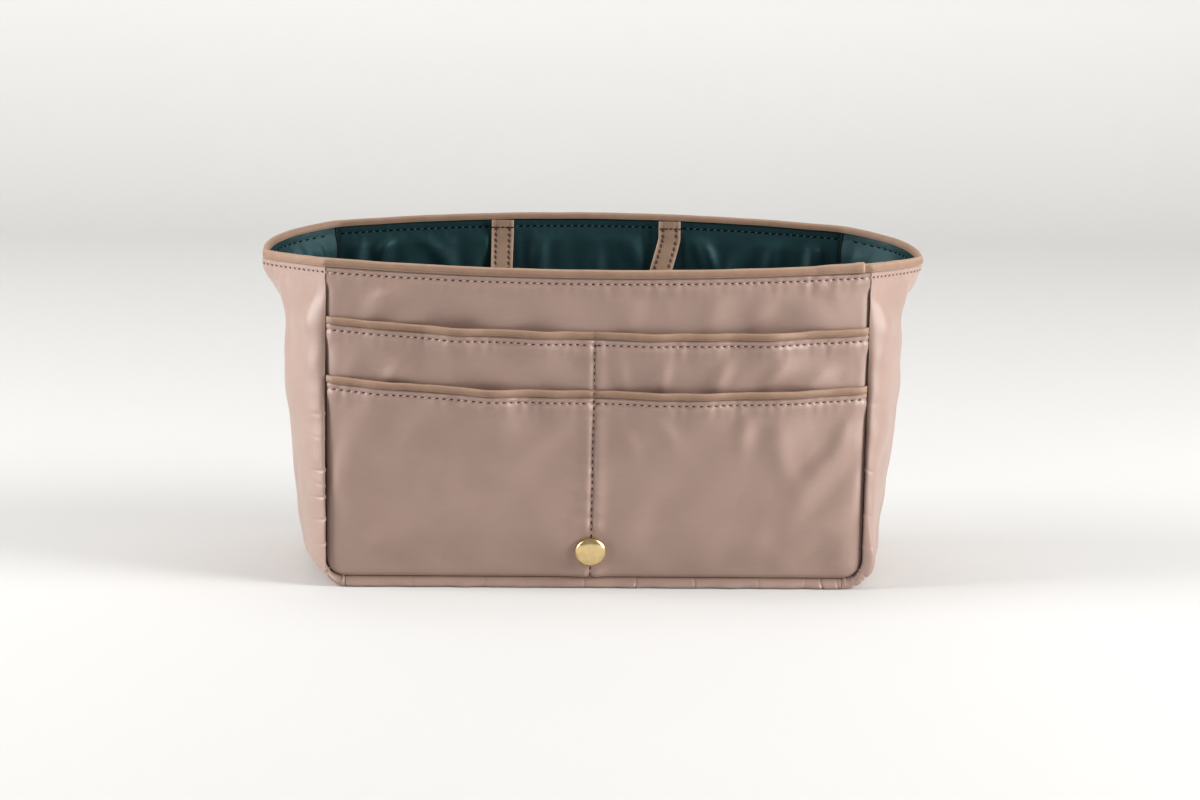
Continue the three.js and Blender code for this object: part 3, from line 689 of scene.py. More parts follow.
def metal_material(name, colours, rough):
    """Polished plating with faint swirls and handling marks."""
    material, tree = start_material(name)
    place = object_place(tree)
    haze = noise(tree, place, 3.0, 4.0, 0.6)
    marks = add(tree, "Mapping", "Vector", {"Vector": place, "Scale": (1.0, 1.0, 9.0),
                                            "Rotation": (0.3, 0.2, 0.6)})
    end_material(tree, tones(tree, haze, 0.35, 0.7, colours), spread(tree, haze, *rough),
                 (noise(tree, marks, 0.8), 0.12, 0.03), {"Metallic": 1.0})
    return material


def foam_material(name, colours, cell, rough):
    """Open-celled foam or pressed board: pits of one size over cloudy colour."""
    material, tree = start_material(name)
    place = object_place(tree)
    pits = cells(tree, place, cell)
    cloud = noise(tree, place, 6.0, 3.0, 0.6)
    end_material(tree, tones(tree, cloud, 0.35, 0.7, colours), spread(tree, cloud, *rough),
                 (pits, 0.7, 0.25), {})
    return material


nylon = cloth_material("satin_nylon", [(156, 128, 116), (167, 139, 126), (121, 96, 85)],
                       (0.42, 0.34), (0.33, 0.47), 0.3, 0.05, 0.7)
teal = cloth_material("lining_satin", [(23, 45, 48), (31, 55, 58), (8, 19, 22)],
                      (0.62, 0.4), (0.34, 0.46), 0.0, 0.07, 0.28, (156, 206, 212))
# The seams' grooves: nylon painted dark brown for the shade deep in each groove
seam_shade = cloth_material("seam_cloth_painted_shade", [(92, 66, 54), (106, 78, 64), (62, 44, 36)],
                            (0.42, 0.34), (0.6, 0.8), 0.05, 0.05)
# The lining's corner seams: teal painted near-black for the shade in the corners
teal_seam_painted_shade = cloth_material("lining_seam_painted_shade", [(8, 18, 20), (12, 24, 27), (4, 9, 11)],
                           (0.5, 0.45), (0.5, 0.65), 0.0, 0.05, 0.2)
leather = leather_material("matt_binding", [(134, 106, 87), (146, 117, 96), (172, 142, 120)], 0.55)
strap_skin = leather_material("matt_strap", [(143, 115, 95), (155, 126, 105), (192, 163, 141)], 0.6)
thread = thread_material("brown_thread", [(92, 62, 54), (124, 90, 79)])
light_thread = thread_material("pale_thread", [(172, 142, 129), (200, 171, 157)])
# Painted shadows of the needle holes between the pale threads
slot_shade = thread_material("needle_hole_painted_shadows", [(52, 34, 29), (74, 50, 43)], 0.0, 0.0)
dark_thread = thread_material("dark_thread", [(44, 66, 70), (74, 98, 102)], 0.2, 0.0)
# Near-black: the threads across the straps, and the painted shadow in the lining rows' needle holes
black_thread_and_hole_shadow = thread_material("black_threads_and_hole_shadows", [(7, 12, 14), (14, 20, 22)], 0.0, 0.0)
strap_thread = thread_material("strap_thread", [(62, 42, 35), (92, 66, 56)], 0.1, 0.0)
gold = metal_material("gold_plate", [(222, 194, 138), (236, 212, 162)], (0.16, 0.28))
brass = metal_material("washer_brass", [(176, 140, 74), (196, 160, 92)], (0.3, 0.45))
foam = foam_material("padding_foam", [(208, 204, 194), (222, 218, 208)], 0.7, (0.8, 0.95))
board = foam_material("base_stiffener", [(46, 44, 40), (60, 57, 52)], 0.4, (0.5, 0.7))


# Walls and pockets

# Points lie closest from row_above over a stitch row to row_under below it, then less close to row_end
row_above, row_under, row_end = 2.5, 3.0, 11.0


def row_heights(rim, low, row, below, steps):
    """Depths and heights of a wall's rows, fine round its stitch row, then stretched to its bottom."""
    marks = spaced([wall_top_drop, row - row_above, *(row + b for b in below), 100], steps)[:, None]
    start = row + below[-1]
    t = (marks - start) / (100 - start)
    depth = np.where(t > 0, start + t * (rim - low - start), marks)
    return depth, rim - depth


def wall_grid(side, x, inset_of, lift_of, bottom_inset, widen=None):
    """Points of a wall from its top down, at columns x."""
    depth, z = row_heights(panel_rim(side, x), panel_bottom(x, bottom_inset), rim_row, (row_under, row_end),
                           [0.6, 0.36, 0.8, 1.9])
    x = np.broadcast_to(x, z.shape)
    x = x * widen(depth) if widen else drawn_in(x, z)
    return panel_point(side, x, z, inset_of(depth), lift_of(x, z))


cloth_x = spaced([-edge_x, -edge_x + 6, divider - 5, divider + 5, edge_x - 6, edge_x],
                 [0.5, 0.79, 0.42, 0.79, 0.5])
for name, side in walls.items():
    outer, inner = (wall_grid(side, cloth_x, lambda depth: inset, partial(wall_lift, side), pocket_side_gap)
                    for inset in (0.0, fabric))
    made = shell(f"{name}_wall", outer, inner, nylon)
    stands_for(made, f"{name}_panel")

for name, end, out_of, flat in (("middle_pocket", middle_mouth, middle_out, (0.297, 0.142)),
                                ("front_pocket", front_mouth, front_out, (0.297, 0.110))):
    _, z = row_heights(mouth_height(end, cloth_x), panel_bottom(cloth_x, pocket_side_gap), mouth_row,
                       (row_under,), [0.6, 0.36, 0.8])
    x = drawn_in(np.broadcast_to(cloth_x, z.shape), z)
    out = out_of(x, z)
    made = shell(f"{name}_cloth", panel_point(-1, x, z, -out), panel_point(-1, x, z, pocket_sheet - out),
                 nylon)
    stands_for(made, name)


# Gussets and base

# Creases from the front seams: height, slant, half width and depth
gusset_creases = {
    -1: [(96, -0.1, 1.2, 0.6), (82, 0.15, 0.8, 0.4), (65, -0.15, 0.65, 1), (56, 0.2, 0.9, 0.5),
         (50, -0.1, 0.65, 1), (38, -0.2, 0.7, 0.9), (24, -0.15, 0.7, 0.8), (8.2, -0.2, 0.65, 1.3),
         (-2.6, 0.7, 0.8, 1.4)],
    1: [(67, -0.2, 1, 0.7), (103, 0.2, 1.2, 0.4), (41, 0.1, 0.9, 0.4), (24, -0.1, 0.9, 0.4),
        (9.6, -0.35, 0.6, 1.2), (7.4, -0.3, 0.5, 0.8), (3, -0.2, 0.6, 0.8), (0.8, -0.3, 0.5, 0.5),
        (-1.8, -0.3, 0.6, 1.1)],
}


def gusset_lift(hand, u, z):
    """Puckers along both seams of a gusset, the pull of the rim's stitches and two soft lengthwise folds."""
    depth = gusset_rim(u) - z
    seed = 61 if hand < 0 else 71
    edge = (1 - np.abs(u)) * half_depth
    shown = smooth((depth - binding_height) / 1.3)
    away = smooth((depth - rim_row - 1) / 8)
    lift = row_lift(depth - rim_row, u * gusset_arc, gusset_pitch, seed, 0.35) * shown * 0.6
    lift = lift + binding_pinch(depth - binding_height)
    waver = np.where(u < 0, ripple(z, seed + 1, 10, 28), ripple(z, seed + 2, 10, 28))
    pucker = 0.35 * waver * hump(edge - 5.0, 4.5)
    across = 0.5 * ripple(z + 10 * np.sin(u * 3), seed + 3, 22, 60, 6) * smooth(edge / 14)
    ridge = 1.2 * hump(u + 0.34 + 0.0006 * (z - 90), 0.11) * smooth((z - 70) / 50)
    ridge = ridge + 1.1 * hump(u - 0.4 + 0.0008 * (z - 100), 0.13) * smooth((z - 60) / 50)
    broad = 0.8 * swells(u * half_depth, z, seed + 4, 24, 60)
    flare = 1.9 * (hand < 0) * hump(u, 0.24) * (hump(z - 152, 11) + 0.4 * smooth((z - 158) / 8))
    body = soft_floor(pucker + (across + ridge + broad + flare + 0.4) * smooth(edge / 7))
    front = sum(deep * hump(z - at - slant * edge, wide) for at, slant, wide, deep in gusset_creases[hand])
    local = np.random.default_rng(seed + 6)
    back = 0.0
    for at in (-2, 9, 37, 52, 61, 78, 90, 103, 121):
        at = at + local.uniform(-3, 3)
        slant = local.uniform(-0.4, 0.4)
        wide, deep = local.uniform(0.6, 1.0, 2)
        back = back + deep * 0.8 * hump(z - at - slant * edge, wide)
    creases = np.where(u < 0, front, back)
    lift = lift + (0.6 if hand < 0 else 0.1) * hump(u, 0.3) * shown * (1 - away)
    return lift + body * away - 0.8 * creases * hump(edge - 2.5, 5) * away


def side_heights(u, steps, count):
    """Heights from a side's rim down to its lower corner, fine round the stitch row."""
    fine = spaced([wall_top_drop, rim_row - row_above, rim_row + row_under, rim_row + row_end], steps)
    t = np.concatenate([np.zeros(len(fine)), np.linspace(0, 1, count)[1:]])[:, None]
    top = np.concatenate([fine, np.full(count - 1, rim_row + row_end)])[:, None]
    return mix(gusset_rim(u) - top, corner_top, t)


def side_grid(hand, u, z, turns, inset_of, rolled=0.0, side_lift=None, corner_lift=None):
    """Points of a side from its rim down and on round its lower corner."""
    below = (turns - 1, len(u))
    turn = np.broadcast_to(np.linspace(0, 1, turns)[1:, None], below)
    flat, bent = np.broadcast_to(u, z.shape), np.broadcast_to(u, below)
    lift = side_lift(flat, z) if side_lift else 0.0
    low_lift = corner_lift(bent, corner_top - turn * 20) if corner_lift else 0.0
    return np.concatenate([
        side_point(hand, flat, z, inset_of(gusset_rim(u) - z), rolled, lift),
        corner_point(hand, bent, turn, inset_of(np.full(below, 100.0)), rolled, low_lift)])


across_fine = spaced([-1.0, -0.88, -0.12, 0.12, 0.88, 1.0], [0.006, 0.014, 0.008, 0.014, 0.006])
for name, hand in hands.items():
    lift_of = partial(gusset_lift, hand)
    outer = side_grid(hand, across_fine, side_heights(across_fine, [0.6, 0.4, 0.9], 230), 49,
                      lambda depth: 0.0, 1.0, lift_of, lift_of)
    made = shell(f"{name}_gusset_cloth", outer, thick_grid(outer, -hand * fabric), nylon)
    stands_for(made, f"{name}_gusset")


# Creases across the base's rolls: place, side, half width, slant and depth
base_creases = [
    (-5.5, -1, 0.6, 0.4, 0.5), (23, -1, 0.6, -0.5, 0.6), (55, -1, 0.6, 0.3, 0.6),
    (90, -1, 0.7, 0.8, 0.4), (116, -1, 0.7, -1, 0.35), (124.5, -1, 0.7, 1.8, 1.1),
    (133.5, -1, 0.6, 1.2, 0.5), (-60, -1, 0.7, -0.4, 0.4), (-100, -1, 0.8, 0.6, 0.4),
    (-118, 1, 0.8, 1.5, 0.9), (-40, 1, 0.6, -0.6, 0.7), (32, 1, 0.6, 0.8, 0.7),
    (104, 1, 0.8, -1.2, 0.9),
]
base_half = half_width - corner_radius - layer_gap
u, x = np.meshgrid(spaced([-1.0, -0.88, 0.88, 1.0], [0.005, 0.05, 0.005]),
                   np.linspace(-base_half, base_half, 560))
outer = base_point(u, x, 0.0, 1.0)
roll_wave = 1 + 0.09 * ripple(x, 81, 9, 30) * hump(np.abs(u) - 0.96, 0.06)
creased = sum((np.sign(u) == side) * deep * hump(x - place - slant * (1 - np.abs(u)) * 20, width)
              for place, side, width, slant, deep in base_creases)
creased = np.sign(u) * creased * hump(np.abs(u) - 0.965, 0.05)
outer[..., 1] = u * half_depth + roll_bump(u) * roll_wave - creased
made = shell("base_cloth", outer, thick_grid(outer, fabric), nylon)
stands_for(made, "base_panel")


def seam_fold(side):
    """The rings of the fold of cloth at the bottom of a wall's seam groove, its nylon painted dark brown for
    the groove's shade.
    """
    top = panel_rim(side, half_width) - 3.5
    flat = half_width - corner_radius
    turn = np.linspace(0, math.pi / 2, 20)
    x = np.concatenate([np.full(40, half_width), flat + corner_radius * np.cos(turn),
                        np.linspace(flat, 0, 60)[1:]])
    z = np.concatenate([np.linspace(top, corner_top, 41)[:-1], corner_top - corner_radius * np.sin(turn),
                        np.full(59, seam_height)])
    out_x = np.concatenate([np.ones(40), np.cos(turn), np.zeros(59)])
    out_z = np.concatenate([np.zeros(40), -np.sin(turn), -np.ones(59)])
    x, z, out_x, out_z = (np.concatenate([a, sign * a[-2::-1]])
                          for a, sign in ((x, -1), (z, 1), (out_x, -1), (out_z, 1)))
    room = lining_line(panel_rim(side, half_width) - z) - 0.4
    upright_share = np.abs(out_x) * smooth((top - z - 20) / 30)
    rings = []
    for out, deep, upright in ((-1.5, 3.1, 0), (0.2, 3.1, 0), (0.2, 2.4, 0), (0.1, 0.9, 1), (-0.2, 0.9, 1),
                               (-0.3, 2.8, 1), (-1.5, 2.95, 0)):
        out = out - np.where(x < 0, 0.4, 0.15) * upright * upright_share
        deep = deep - 0.6 * upright * upright_share
        inset = np.minimum(deep, room - (3.1 - deep) * 0.1)
        rings.append(np.stack([x + out_x * out, side * (half_depth - inset), z + out_z * out], 1))
    return np.stack(rings, 1)


for name, side in walls.items():
    swept(f"{name}_seam_fold", seam_fold(side), np.zeros(7), seam_shade)


# Padding inside the walls


def padding(name, grid):
    made = shell(f"{name}_foam", grid(padding_inset), grid(padding_end), foam)
    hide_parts(f"{name}_padding")


pad_x = np.linspace(-1, 1, 90) * (half_width - padding_end - 3)
for name, side in walls.items():
    z = mix(panel_rim(side, pad_x) - padding_drop, panel_bottom(pad_x, padding_end + layer_gap),
            np.linspace(0, 1, 50)[:, None])
    padding(name, partial(panel_point, side, np.broadcast_to(pad_x, z.shape), z))

pad_u = np.linspace(-0.97, 0.97, 70)
z = mix(gusset_rim(pad_u) - padding_drop, corner_top, np.linspace(0, 1, 60)[:, None])
for name, hand in hands.items():
    padding(name, lambda inset: side_grid(hand, pad_u, z, 15, lambda depth: inset))


# Lining


def lining_row(depth, along, seed, corner):
    """The pull of the rim's stitches on the lining, below the binding's inner leg."""
    row = 0.4 * row_lift(depth - rim_row, along, front_pitch, seed, 0.3) - 0.5 * corner
    return row * smooth((depth - inner_leg - 0.4) / 1.3)


def lining_lift(side, x, z):
    """Loose satin: folds that stand inwards, but lie flat at the rim's stitches and under the straps."""
    depth = panel_rim(side, x) - z
    beside = half_width - lining_inset - np.abs(x)
    row = lining_row(depth, x, 91 + side, hump(beside, 0.9))
    table = lining_folds if side > 0 else [(-a, b - 8, -c, d, e, f) for a, b, c, d, e, f in lining_folds]
    away = smooth((depth - rim_row - 1) / 7) * smooth(beside / 7)
    strap_gap = np.minimum(np.abs(x - handle_left), np.abs(x - handle_right)) - strap_width / 2
    under = 1 - 0.85 * (1 - smooth(strap_gap / 4)) * (1 - smooth((depth - 40) / 20))
    loose = 2.0 * folds(x, z, table) + 0.6 * ripple(x + 0.15 * z, 95, 9, 30, 7) + 0.25
    return row + np.maximum(loose, -0.15) * away * under * smooth((z - 12) / 14)


def lining_gusset_lift(hand, u, z):
    depth = gusset_rim(u) - z
    edge = (1 - np.abs(u)) * half_depth
    row = lining_row(depth, u * gusset_arc, 97, hump(edge, 1.6))
    loose = 1.9 * ripple(u * 60 + 0.1 * z, 98 + hand, 8, 22, 7) + 0.4 * ripple(z, 99, 20, 50, 5) + 0.6
    return row + np.maximum(loose, -0.1) * smooth((depth - rim_row) / 8) * smooth(edge / 6)


lining_end = lining_inset + lining + layer_gap
lining_edge = half_width - lining_end
lining_x = spaced([-lining_edge, lining_edge], [0.9])
for name, side in walls.items():
    outer, inner = (wall_grid(side, lining_x, lambda d: lining_line(d) + extra,
                              lambda x, z: -lining_lift(side, x, z), lining_end,
                              lambda d: (half_width - lining_line(d) - 0.65) / lining_edge)
                    for extra in (0.0, lining))
    made = shell(f"{name}_lining_cloth", outer, inner, teal)
    stands_for(made, f"{name}_lining")

# The seams where the walls' lining meets the sides', as thin strips painted near-black for the shade in
# those corners
for name, side in walls.items():
    for hand_name, hand in hands.items():
        z = np.linspace(panel_rim(side, half_width) - inner_leg, corner_top, 120)
        inset = lining_line(panel_rim(side, half_width) - z) + 0.5 * lining + 0.22
        angle = np.linspace(0, 2 * math.pi, 9)[:-1]
        waver = 0.12 * ripple(z, 130 + side, 8, 30)
        x = half_width - (inset - waver)[:, None] + 0.42 * np.cos(angle)
        y = half_depth - inset[:, None] + 0.42 * np.sin(angle)
        swept(f"{name}_{hand_name}_lining_seam", xyz(hand * x, side * y, z[:, None]), np.zeros(8), teal_seam_painted_shade)

across_lining = spaced([-1.0, -0.1, 0.1, 1.0], [0.014, 0.008, 0.014])
z = side_heights(across_lining, [0.6, 0.45, 1.0], 80)
for name, hand in hands.items():
    outer, inner = (side_grid(hand, across_lining, z, 15, lambda d: lining_line(d) + extra,
                              side_lift=lambda u, z: -lining_gusset_lift(hand, u, z))
                    for extra in (0.0, lining))
    made = shell(f"{name}_lining_cloth", outer, inner, teal)
    stands_for(made, f"{name}_lining")

u, x = np.meshgrid(spaced([-1.0, -0.9, 0.9, 1.0], [0.01, 0.03, 0.01]),
                   np.linspace(-base_half, base_half, 160))
rise = 0.35 * (1 + ripple(x + 20 * u, 101, 30, 80, 6)) * smooth((1 - np.abs(u)) * 8)
rise = rise * smooth((base_half - np.abs(x)) / 10)
outer, inner = (base_point(u, x, inset) for inset in (lining_inset, lining_inset + lining))
outer[..., 2] += rise
inner[..., 2] += rise
stands_for(shell("base_lining_cloth", outer, inner, teal), "base_lining")


# Bindings


def channel_profile(height_out, height_in, in_face, thickness=binding):
    """The closed outline of a folded strip as pairs of depth and inset, and how far each point is lightened
    for wear and painted highlight.
    """
    out, into = -(layer_gap + thickness), in_face + layer_gap + thickness
    middle, half = (out + into) / 2, (into - out) / 2
    crown = min(1.5, half * 0.95)
    legs_out = [(height_out - 0.05, out + 0.55), (height_out, out + 0.28), (height_out - 0.18, out + 0.05)]
    legs_out += [(mix(height_out - 0.5, crown + 0.1, t), out - 0.42 * math.sin(math.pi * t**0.8))
                 for t in np.linspace(0, 1, 6)]
    arc = [(crown - crown * math.sin(a), middle - half * math.cos(a))
           for a in np.linspace(0.2, math.pi - 0.2, 11)]
    legs_in = [(mix(crown + 0.1, height_in - 0.5, t), into + 0.08 * math.sin(math.pi * t))
               for t in np.linspace(0, 1, 5)]
    legs_in += [(height_in - 0.18, into - 0.05), (height_in, into - 0.28), (height_in - 0.05, into - 0.55)]
    inside = [(height_in - 0.3, into - thickness), (thickness + 0.9, into - thickness),
              (thickness + 0.1, into - thickness - 0.25), (thickness + 0.1, out + thickness + 0.25),
              (thickness + 0.9, out + thickness), (height_out - 0.3, out + thickness)]
    # The legs' lower edges are lighter with wear; the crown's outer half is a painted highlight, lighter
    # than its inner half
    wear_and_light = [0.9] * 3 + [0.25, 0.1, 0.05, 0.05, 0.1, 0.3]
    wear_and_light += [0.5, 0.7, 0.85, 0.9, 0.9, 0.7, 0.4, 0.2, 0.1, 0.05, 0.05]
    wear_and_light += [0.0] * 3 + [0.1, 0.2] + [0.7] * 3 + [0.0] * 6
    return np.array(legs_out + arc + legs_in + inside), np.array(wear_and_light)


def pocket_binding(end, out_of, seed):
    """The rings of a mouth's strip, with the dip where the divider's stitches cross it."""
    x = spaced([-edge_x, divider - 4, divider + 4, edge_x], [1.3, 0.4, 1.3])
    mouth = mouth_height(end, x)
    waver = 0.12 * ripple(x, seed, 14, 50)
    dip = 0.32 * hump(x - divider, 1.5)
    fold_out = out_of(x, mouth - pocket_binding_height)
    rings = []
    for depth, inset in pocket_profile:
        z = mouth - depth + waver * (1 if depth < 2 else 0.4)
        base = mix(out_of(x, np.minimum(z, mouth - 1.2)), fold_out, 0.25)
        rings.append(panel_point(-1, x, z, inset - base + dip * (inset < pocket_sheet / 2)))
    return np.stack(rings, 1)


pocket_profile, pocket_wear_and_light = channel_profile(pocket_binding_height, pocket_binding_height, pocket_sheet)
for name, end, out_of, seed in (("middle", middle_mouth, middle_out, 111),
                                ("front", front_mouth, front_out, 112)):
    made = swept(f"{name}_mouth_binding", pocket_binding(end, out_of, seed), pocket_wear_and_light, leather)
    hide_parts(f"{name}_pocket_binding")


def rim_wave(values, seed):
    return 0.1 * ripple(values, seed, 16, 50)


def rim_rings(profile):
    """Rings of the rim's strip round the loop, with the bump where it passes over each seam."""
    panel = spaced([-1.0, 1.0], [0.009])[:-1]
    turn = spaced([-1.0, -0.12, 0.12, 1.0], [0.022, 0.006, 0.022])[:-1]
    rings = []
    stretches = ((True, -1, panel), (False, 1, turn), (True, 1, -panel), (False, -1, -turn))
    for on_panel, side, values in stretches:
        rim = panel_rim(side, values * half_width) if on_panel else gusset_rim(values)
        corner = (1 - np.abs(values)) * (half_width if on_panel else half_depth)
        wave = rim_wave(values * 120 + 500 * (not on_panel), 121 + side)
        columns = []
        for depth, inset in profile:
            z = rim - depth + wave * smooth(corner / 12)
            off = inset - (0.6 * hump(corner, 2.4) if inset < 0.7 else 0.0)
            if on_panel:
                columns.append(panel_point(side, values * (half_width - off), z, off))
            else:
                thin = 1 - 0.5 * hump(values, 0.14) if inset < 0 else 1.0
                columns.append(side_point(side, values, z, off * thin))
        rings.append(np.stack(columns, 1))
    loop = np.concatenate(rings)
    for _ in range(3):
        loop = (np.roll(loop, 1, 0) + 2 * loop + np.roll(loop, -1, 0)) / 4
    return loop


rim_profile, rim_wear_and_light = channel_profile(binding_height, inner_leg, 1.4)
made = swept("rim_binding_strip", rim_rings(rim_profile), rim_wear_and_light, leather, True)
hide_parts("rim_binding")

# The strip's end, folded under and lapped over its start at the front right
lap_profile, lap_wear_and_light = channel_profile(binding_height + 0.1, inner_leg + 0.1, 1.4, 0.7)
lap_start, lap_end = 104.0, 143.6
lap_x = np.linspace(lap_start, lap_end, 70)
lap_grow = -0.75 + 1.55 * smooth((lap_x - lap_start) / 24) + 0.35 * smooth((lap_x - 134) / 8)
lap_grow = lap_grow + 0.3 * smooth((lap_x - 136) / 5) - 0.4 * hump(lap_x - lap_end, 0.5)
lap_wave = rim_wave(lap_x / half_width * 120, 120)
columns = []
for depth, inset in lap_profile:
    z = panel_rim(-1, lap_x) - depth + lap_grow * 0.55 * (depth < 1.6) + lap_wave
    columns.append(panel_point(-1, lap_x, z, inset + lap_grow * (-1 if inset < 0.7 else 1)))
lap_end_wear_and_light = np.broadcast_to(lap_wear_and_light, (70, len(lap_wear_and_light))).copy()
lap_end_wear_and_light[-2:] = 1.3
swept("rim_binding_lap", np.stack(columns, 1), lap_end_wear_and_light, leather)


# Stitches


def stitch_row(surface, low, high, pitch, length=2.05, radius=thread_radius, seat=0.0, skip=None, scale=1.0,
               phase=0.5, sink=(0.6, 0.34, 0.05), lean=0.34):
    """Short threads laid along surface(s, middle, across, lift), whose ends dip into the cloth."""
    s = np.linspace(low, high, 3000)
    zero = np.zeros_like(s)
    arc = lengths(surface(s, s, zero, zero))
    count = np.arange(math.floor(low * scale / pitch) - 1, math.ceil(high * scale / pitch) + 2)
    middles = (count + phase) * pitch / scale
    ends = 0.5 * length / scale
    middles = middles[(middles > low + ends) & (middles < high - ends)]
    if skip is not None:
        middles = middles[~skip(middles)]
    local = np.random.default_rng(len(middles) + int(abs(low * 10)))
    jitter = local.uniform(-0.1, 0.1, len(middles))
    offsets = np.array([-0.5, -0.44, -0.3, -0.1, 0.1, 0.3, 0.44, 0.5])[:, None]
    down = -np.array([*sink, 0, 0, *sink[::-1]])[:, None]
    girth = radius * np.array([0.35, 0.9, 1.0, 1.0, 1.0, 1.0, 0.9, 0.35])[:, None]
    angle = np.linspace(0, 2 * math.pi, 7)[:-1]
    shape = (len(middles), len(offsets), len(angle))
    place = np.broadcast_to((np.interp(middles, s, arc) + jitter)[:, None, None] + offsets * length, shape)
    across = np.broadcast_to(girth * np.cos(angle) + lean * offsets, shape)
    lift = np.broadcast_to(seat + down + girth * np.sin(angle), shape)
    middle = np.broadcast_to(middles[:, None, None], shape)
    uv = np.stack([place, np.broadcast_to(angle * radius, shape)], -1)
    return surface(np.interp(place, arc, s), middle, across, lift), uv


def join_stitches(name, rows, material, body="shell"):
    """One piece of all the threads in the rows."""
    faces, start = [], 0
    for row, _ in rows:
        copies, count, sides = row.shape[:3]
        flat = row.reshape(-1, 3)
        faces += [f + start for f in tube_faces(flat, count, sides, copies, shift=1)]
        start += len(flat)
    points = np.concatenate([row.reshape(-1, 3) for row, _ in rows])
    uv = np.concatenate([uv.reshape(-1, 2) for _, uv in rows])
    return make_object(name, points, faces, material, body, uv, sharp=0)


def threads_and_painted_hole_shadows(name, runs, pale, dark):
    """Threads, and between them dark pieces painted as the shadow in the holes that a needle leaves.

    runs holds surface, low, high, pitch, options for both, and those of the threads and of the slots, the
    painted hole shadows.
    """
    hole_shadow = {"length": 2.0, "seat": 0.02, "radius": 0.36, "phase": 0.0, "sink": (0.12, 0.05, 0.0)}
    join_stitches(name, [stitch_row(*run, **both, **own) for *run, both, own, _ in runs], pale)
    join_stitches(f"{name}_slots", [stitch_row(*run, **{**hole_shadow, **both, **own})
                                    for *run, both, _, own in runs], dark)


def row_surface(point, rim, base, row=rim_row, inset=0.0, inside=1):
    """A stitch row's surface on cloth of which base(s, z) is the lift; inside is -1 for the lining."""
    def surface(s, middle, across, lift):
        lift = inside * (base(middle, rim(middle) - row) + lift)
        return point(s, rim(s) - row + across, inset=inset, lift=lift)
    return surface


def divider_surface(out_of, extra=0.0):
    def surface(z, middle, across, lift):
        base = out_of(np.full_like(middle, divider), middle)
        return panel_point(-1, divider + across, z, 0.0, base + extra + lift)
    return surface


def seam_surface(side, hand):
    """The rim row's path round a seam, from the wall, below 0, to the gusset, above 0."""
    def surface(s, middle, across, lift):
        past = 0.5 * (s + np.sqrt(s * s + 0.5))
        off = 0.35 + lift
        x = hand * (half_width + s - 0.5 * past + 0.5 * off)
        y = side * (half_depth - 0.87 * past + 0.87 * off)
        return xyz(x, y, panel_rim(side, half_width) - rim_row + across)
    return surface


limit = half_width - 1.1
row_on_gusset = {"scale": gusset_arc}
proud = {"radius": 0.34, "seat": 0.2, "length": 2.3}
bold = {"radius": 0.5, "seat": 0.1, "length": 2.0}
runs = [(row_surface(partial(panel_point, side), partial(panel_rim, side), partial(wall_lift, side)),
         -limit, limit, front_pitch, {}, {}, {}) for side in (-1, 1)]
runs += [(row_surface(partial(side_point, hand, rolled=1.0), gusset_rim, partial(gusset_lift, hand)),
          low, high, gusset_pitch, row_on_gusset, proud, bold)
         for hand in (-1, 1) for low, high in ((-0.985, -0.008), (0.008, 0.985))]
threads_and_painted_hole_shadows("rim_topstitch", runs, light_thread, slot_shade)
join_stitches("seam_crossing_threads", [
    stitch_row(seam_surface(side, hand), -1.3, 1.3, front_pitch, 2.3, phase=0.0)
    for side in (-1, 1) for hand in (-1, 1)], light_thread)

clear = {"skip": lambda x: (np.abs(x - divider) < 1.6) | (np.abs(x) > half_width - 3.2)}
mouths = ((middle_mouth, middle_out), (front_mouth, front_out))
threads_and_painted_hole_shadows("pocket_topstitch", [
    (row_surface(partial(panel_point, -1), partial(mouth_height, end), out_of, mouth_row),
     -limit, limit, front_pitch, clear, {}, {}) for end, out_of in mouths], light_thread, slot_shade)

middle_top, front_top = (float(mouth_height(end, np.array(divider))) for end, _ in mouths)
threads_and_painted_hole_shadows("divider_stitches", [
    (divider_surface(out_of), low, high, divider_pitch, {}, {}, {}) for out_of, low, high in (
        (middle_out, front_top + 1.0, middle_top - 3.6),
        (front_out, stud_z + stud_radius - 2.5, front_top - 3.6),
        (front_out, seam_height - 1.5, stud_z - stud_radius + 2.5))], light_thread, slot_shade)
over_binding = layer_gap + binding + 0.35
join_stitches("divider_on_bindings", [
    stitch_row(divider_surface(out, over_binding), top - 5.4, top + 2.6, 2.6, 1.9, seat=-0.1)
    for out, top in ((middle_out, middle_top), (front_out, front_top))], thread)


def under_strap(x):
    near = np.minimum(np.abs(x - handle_left), np.abs(x - handle_right))
    return near < strap_width / 2 + 1.0


bold = {"radius": 0.42, "seat": 0.1, "length": 2.2}
lining_row_inset = lining_line(rim_row) + lining
on_lining = partial(row_surface, inset=lining_row_inset, inside=-1)
runs = [(on_lining(partial(panel_point, side), partial(panel_rim, side), partial(lining_lift, side)),
         -limit + 0.8, limit - 0.8, front_pitch, {"skip": under_strap}, {"length": 1.5}, bold)
        for side in (-1, 1)]
runs += [(on_lining(partial(side_point, hand), gusset_rim, partial(lining_gusset_lift, hand)),
          low, high, front_pitch, row_on_gusset, {}, bold)
         for hand in (-1, 1) for low, high in ((-0.985, -0.03), (0.03, 0.985))]
threads_and_painted_hole_shadows("lining_topstitch", runs, dark_thread, black_thread_and_hole_shadow)


# Handles


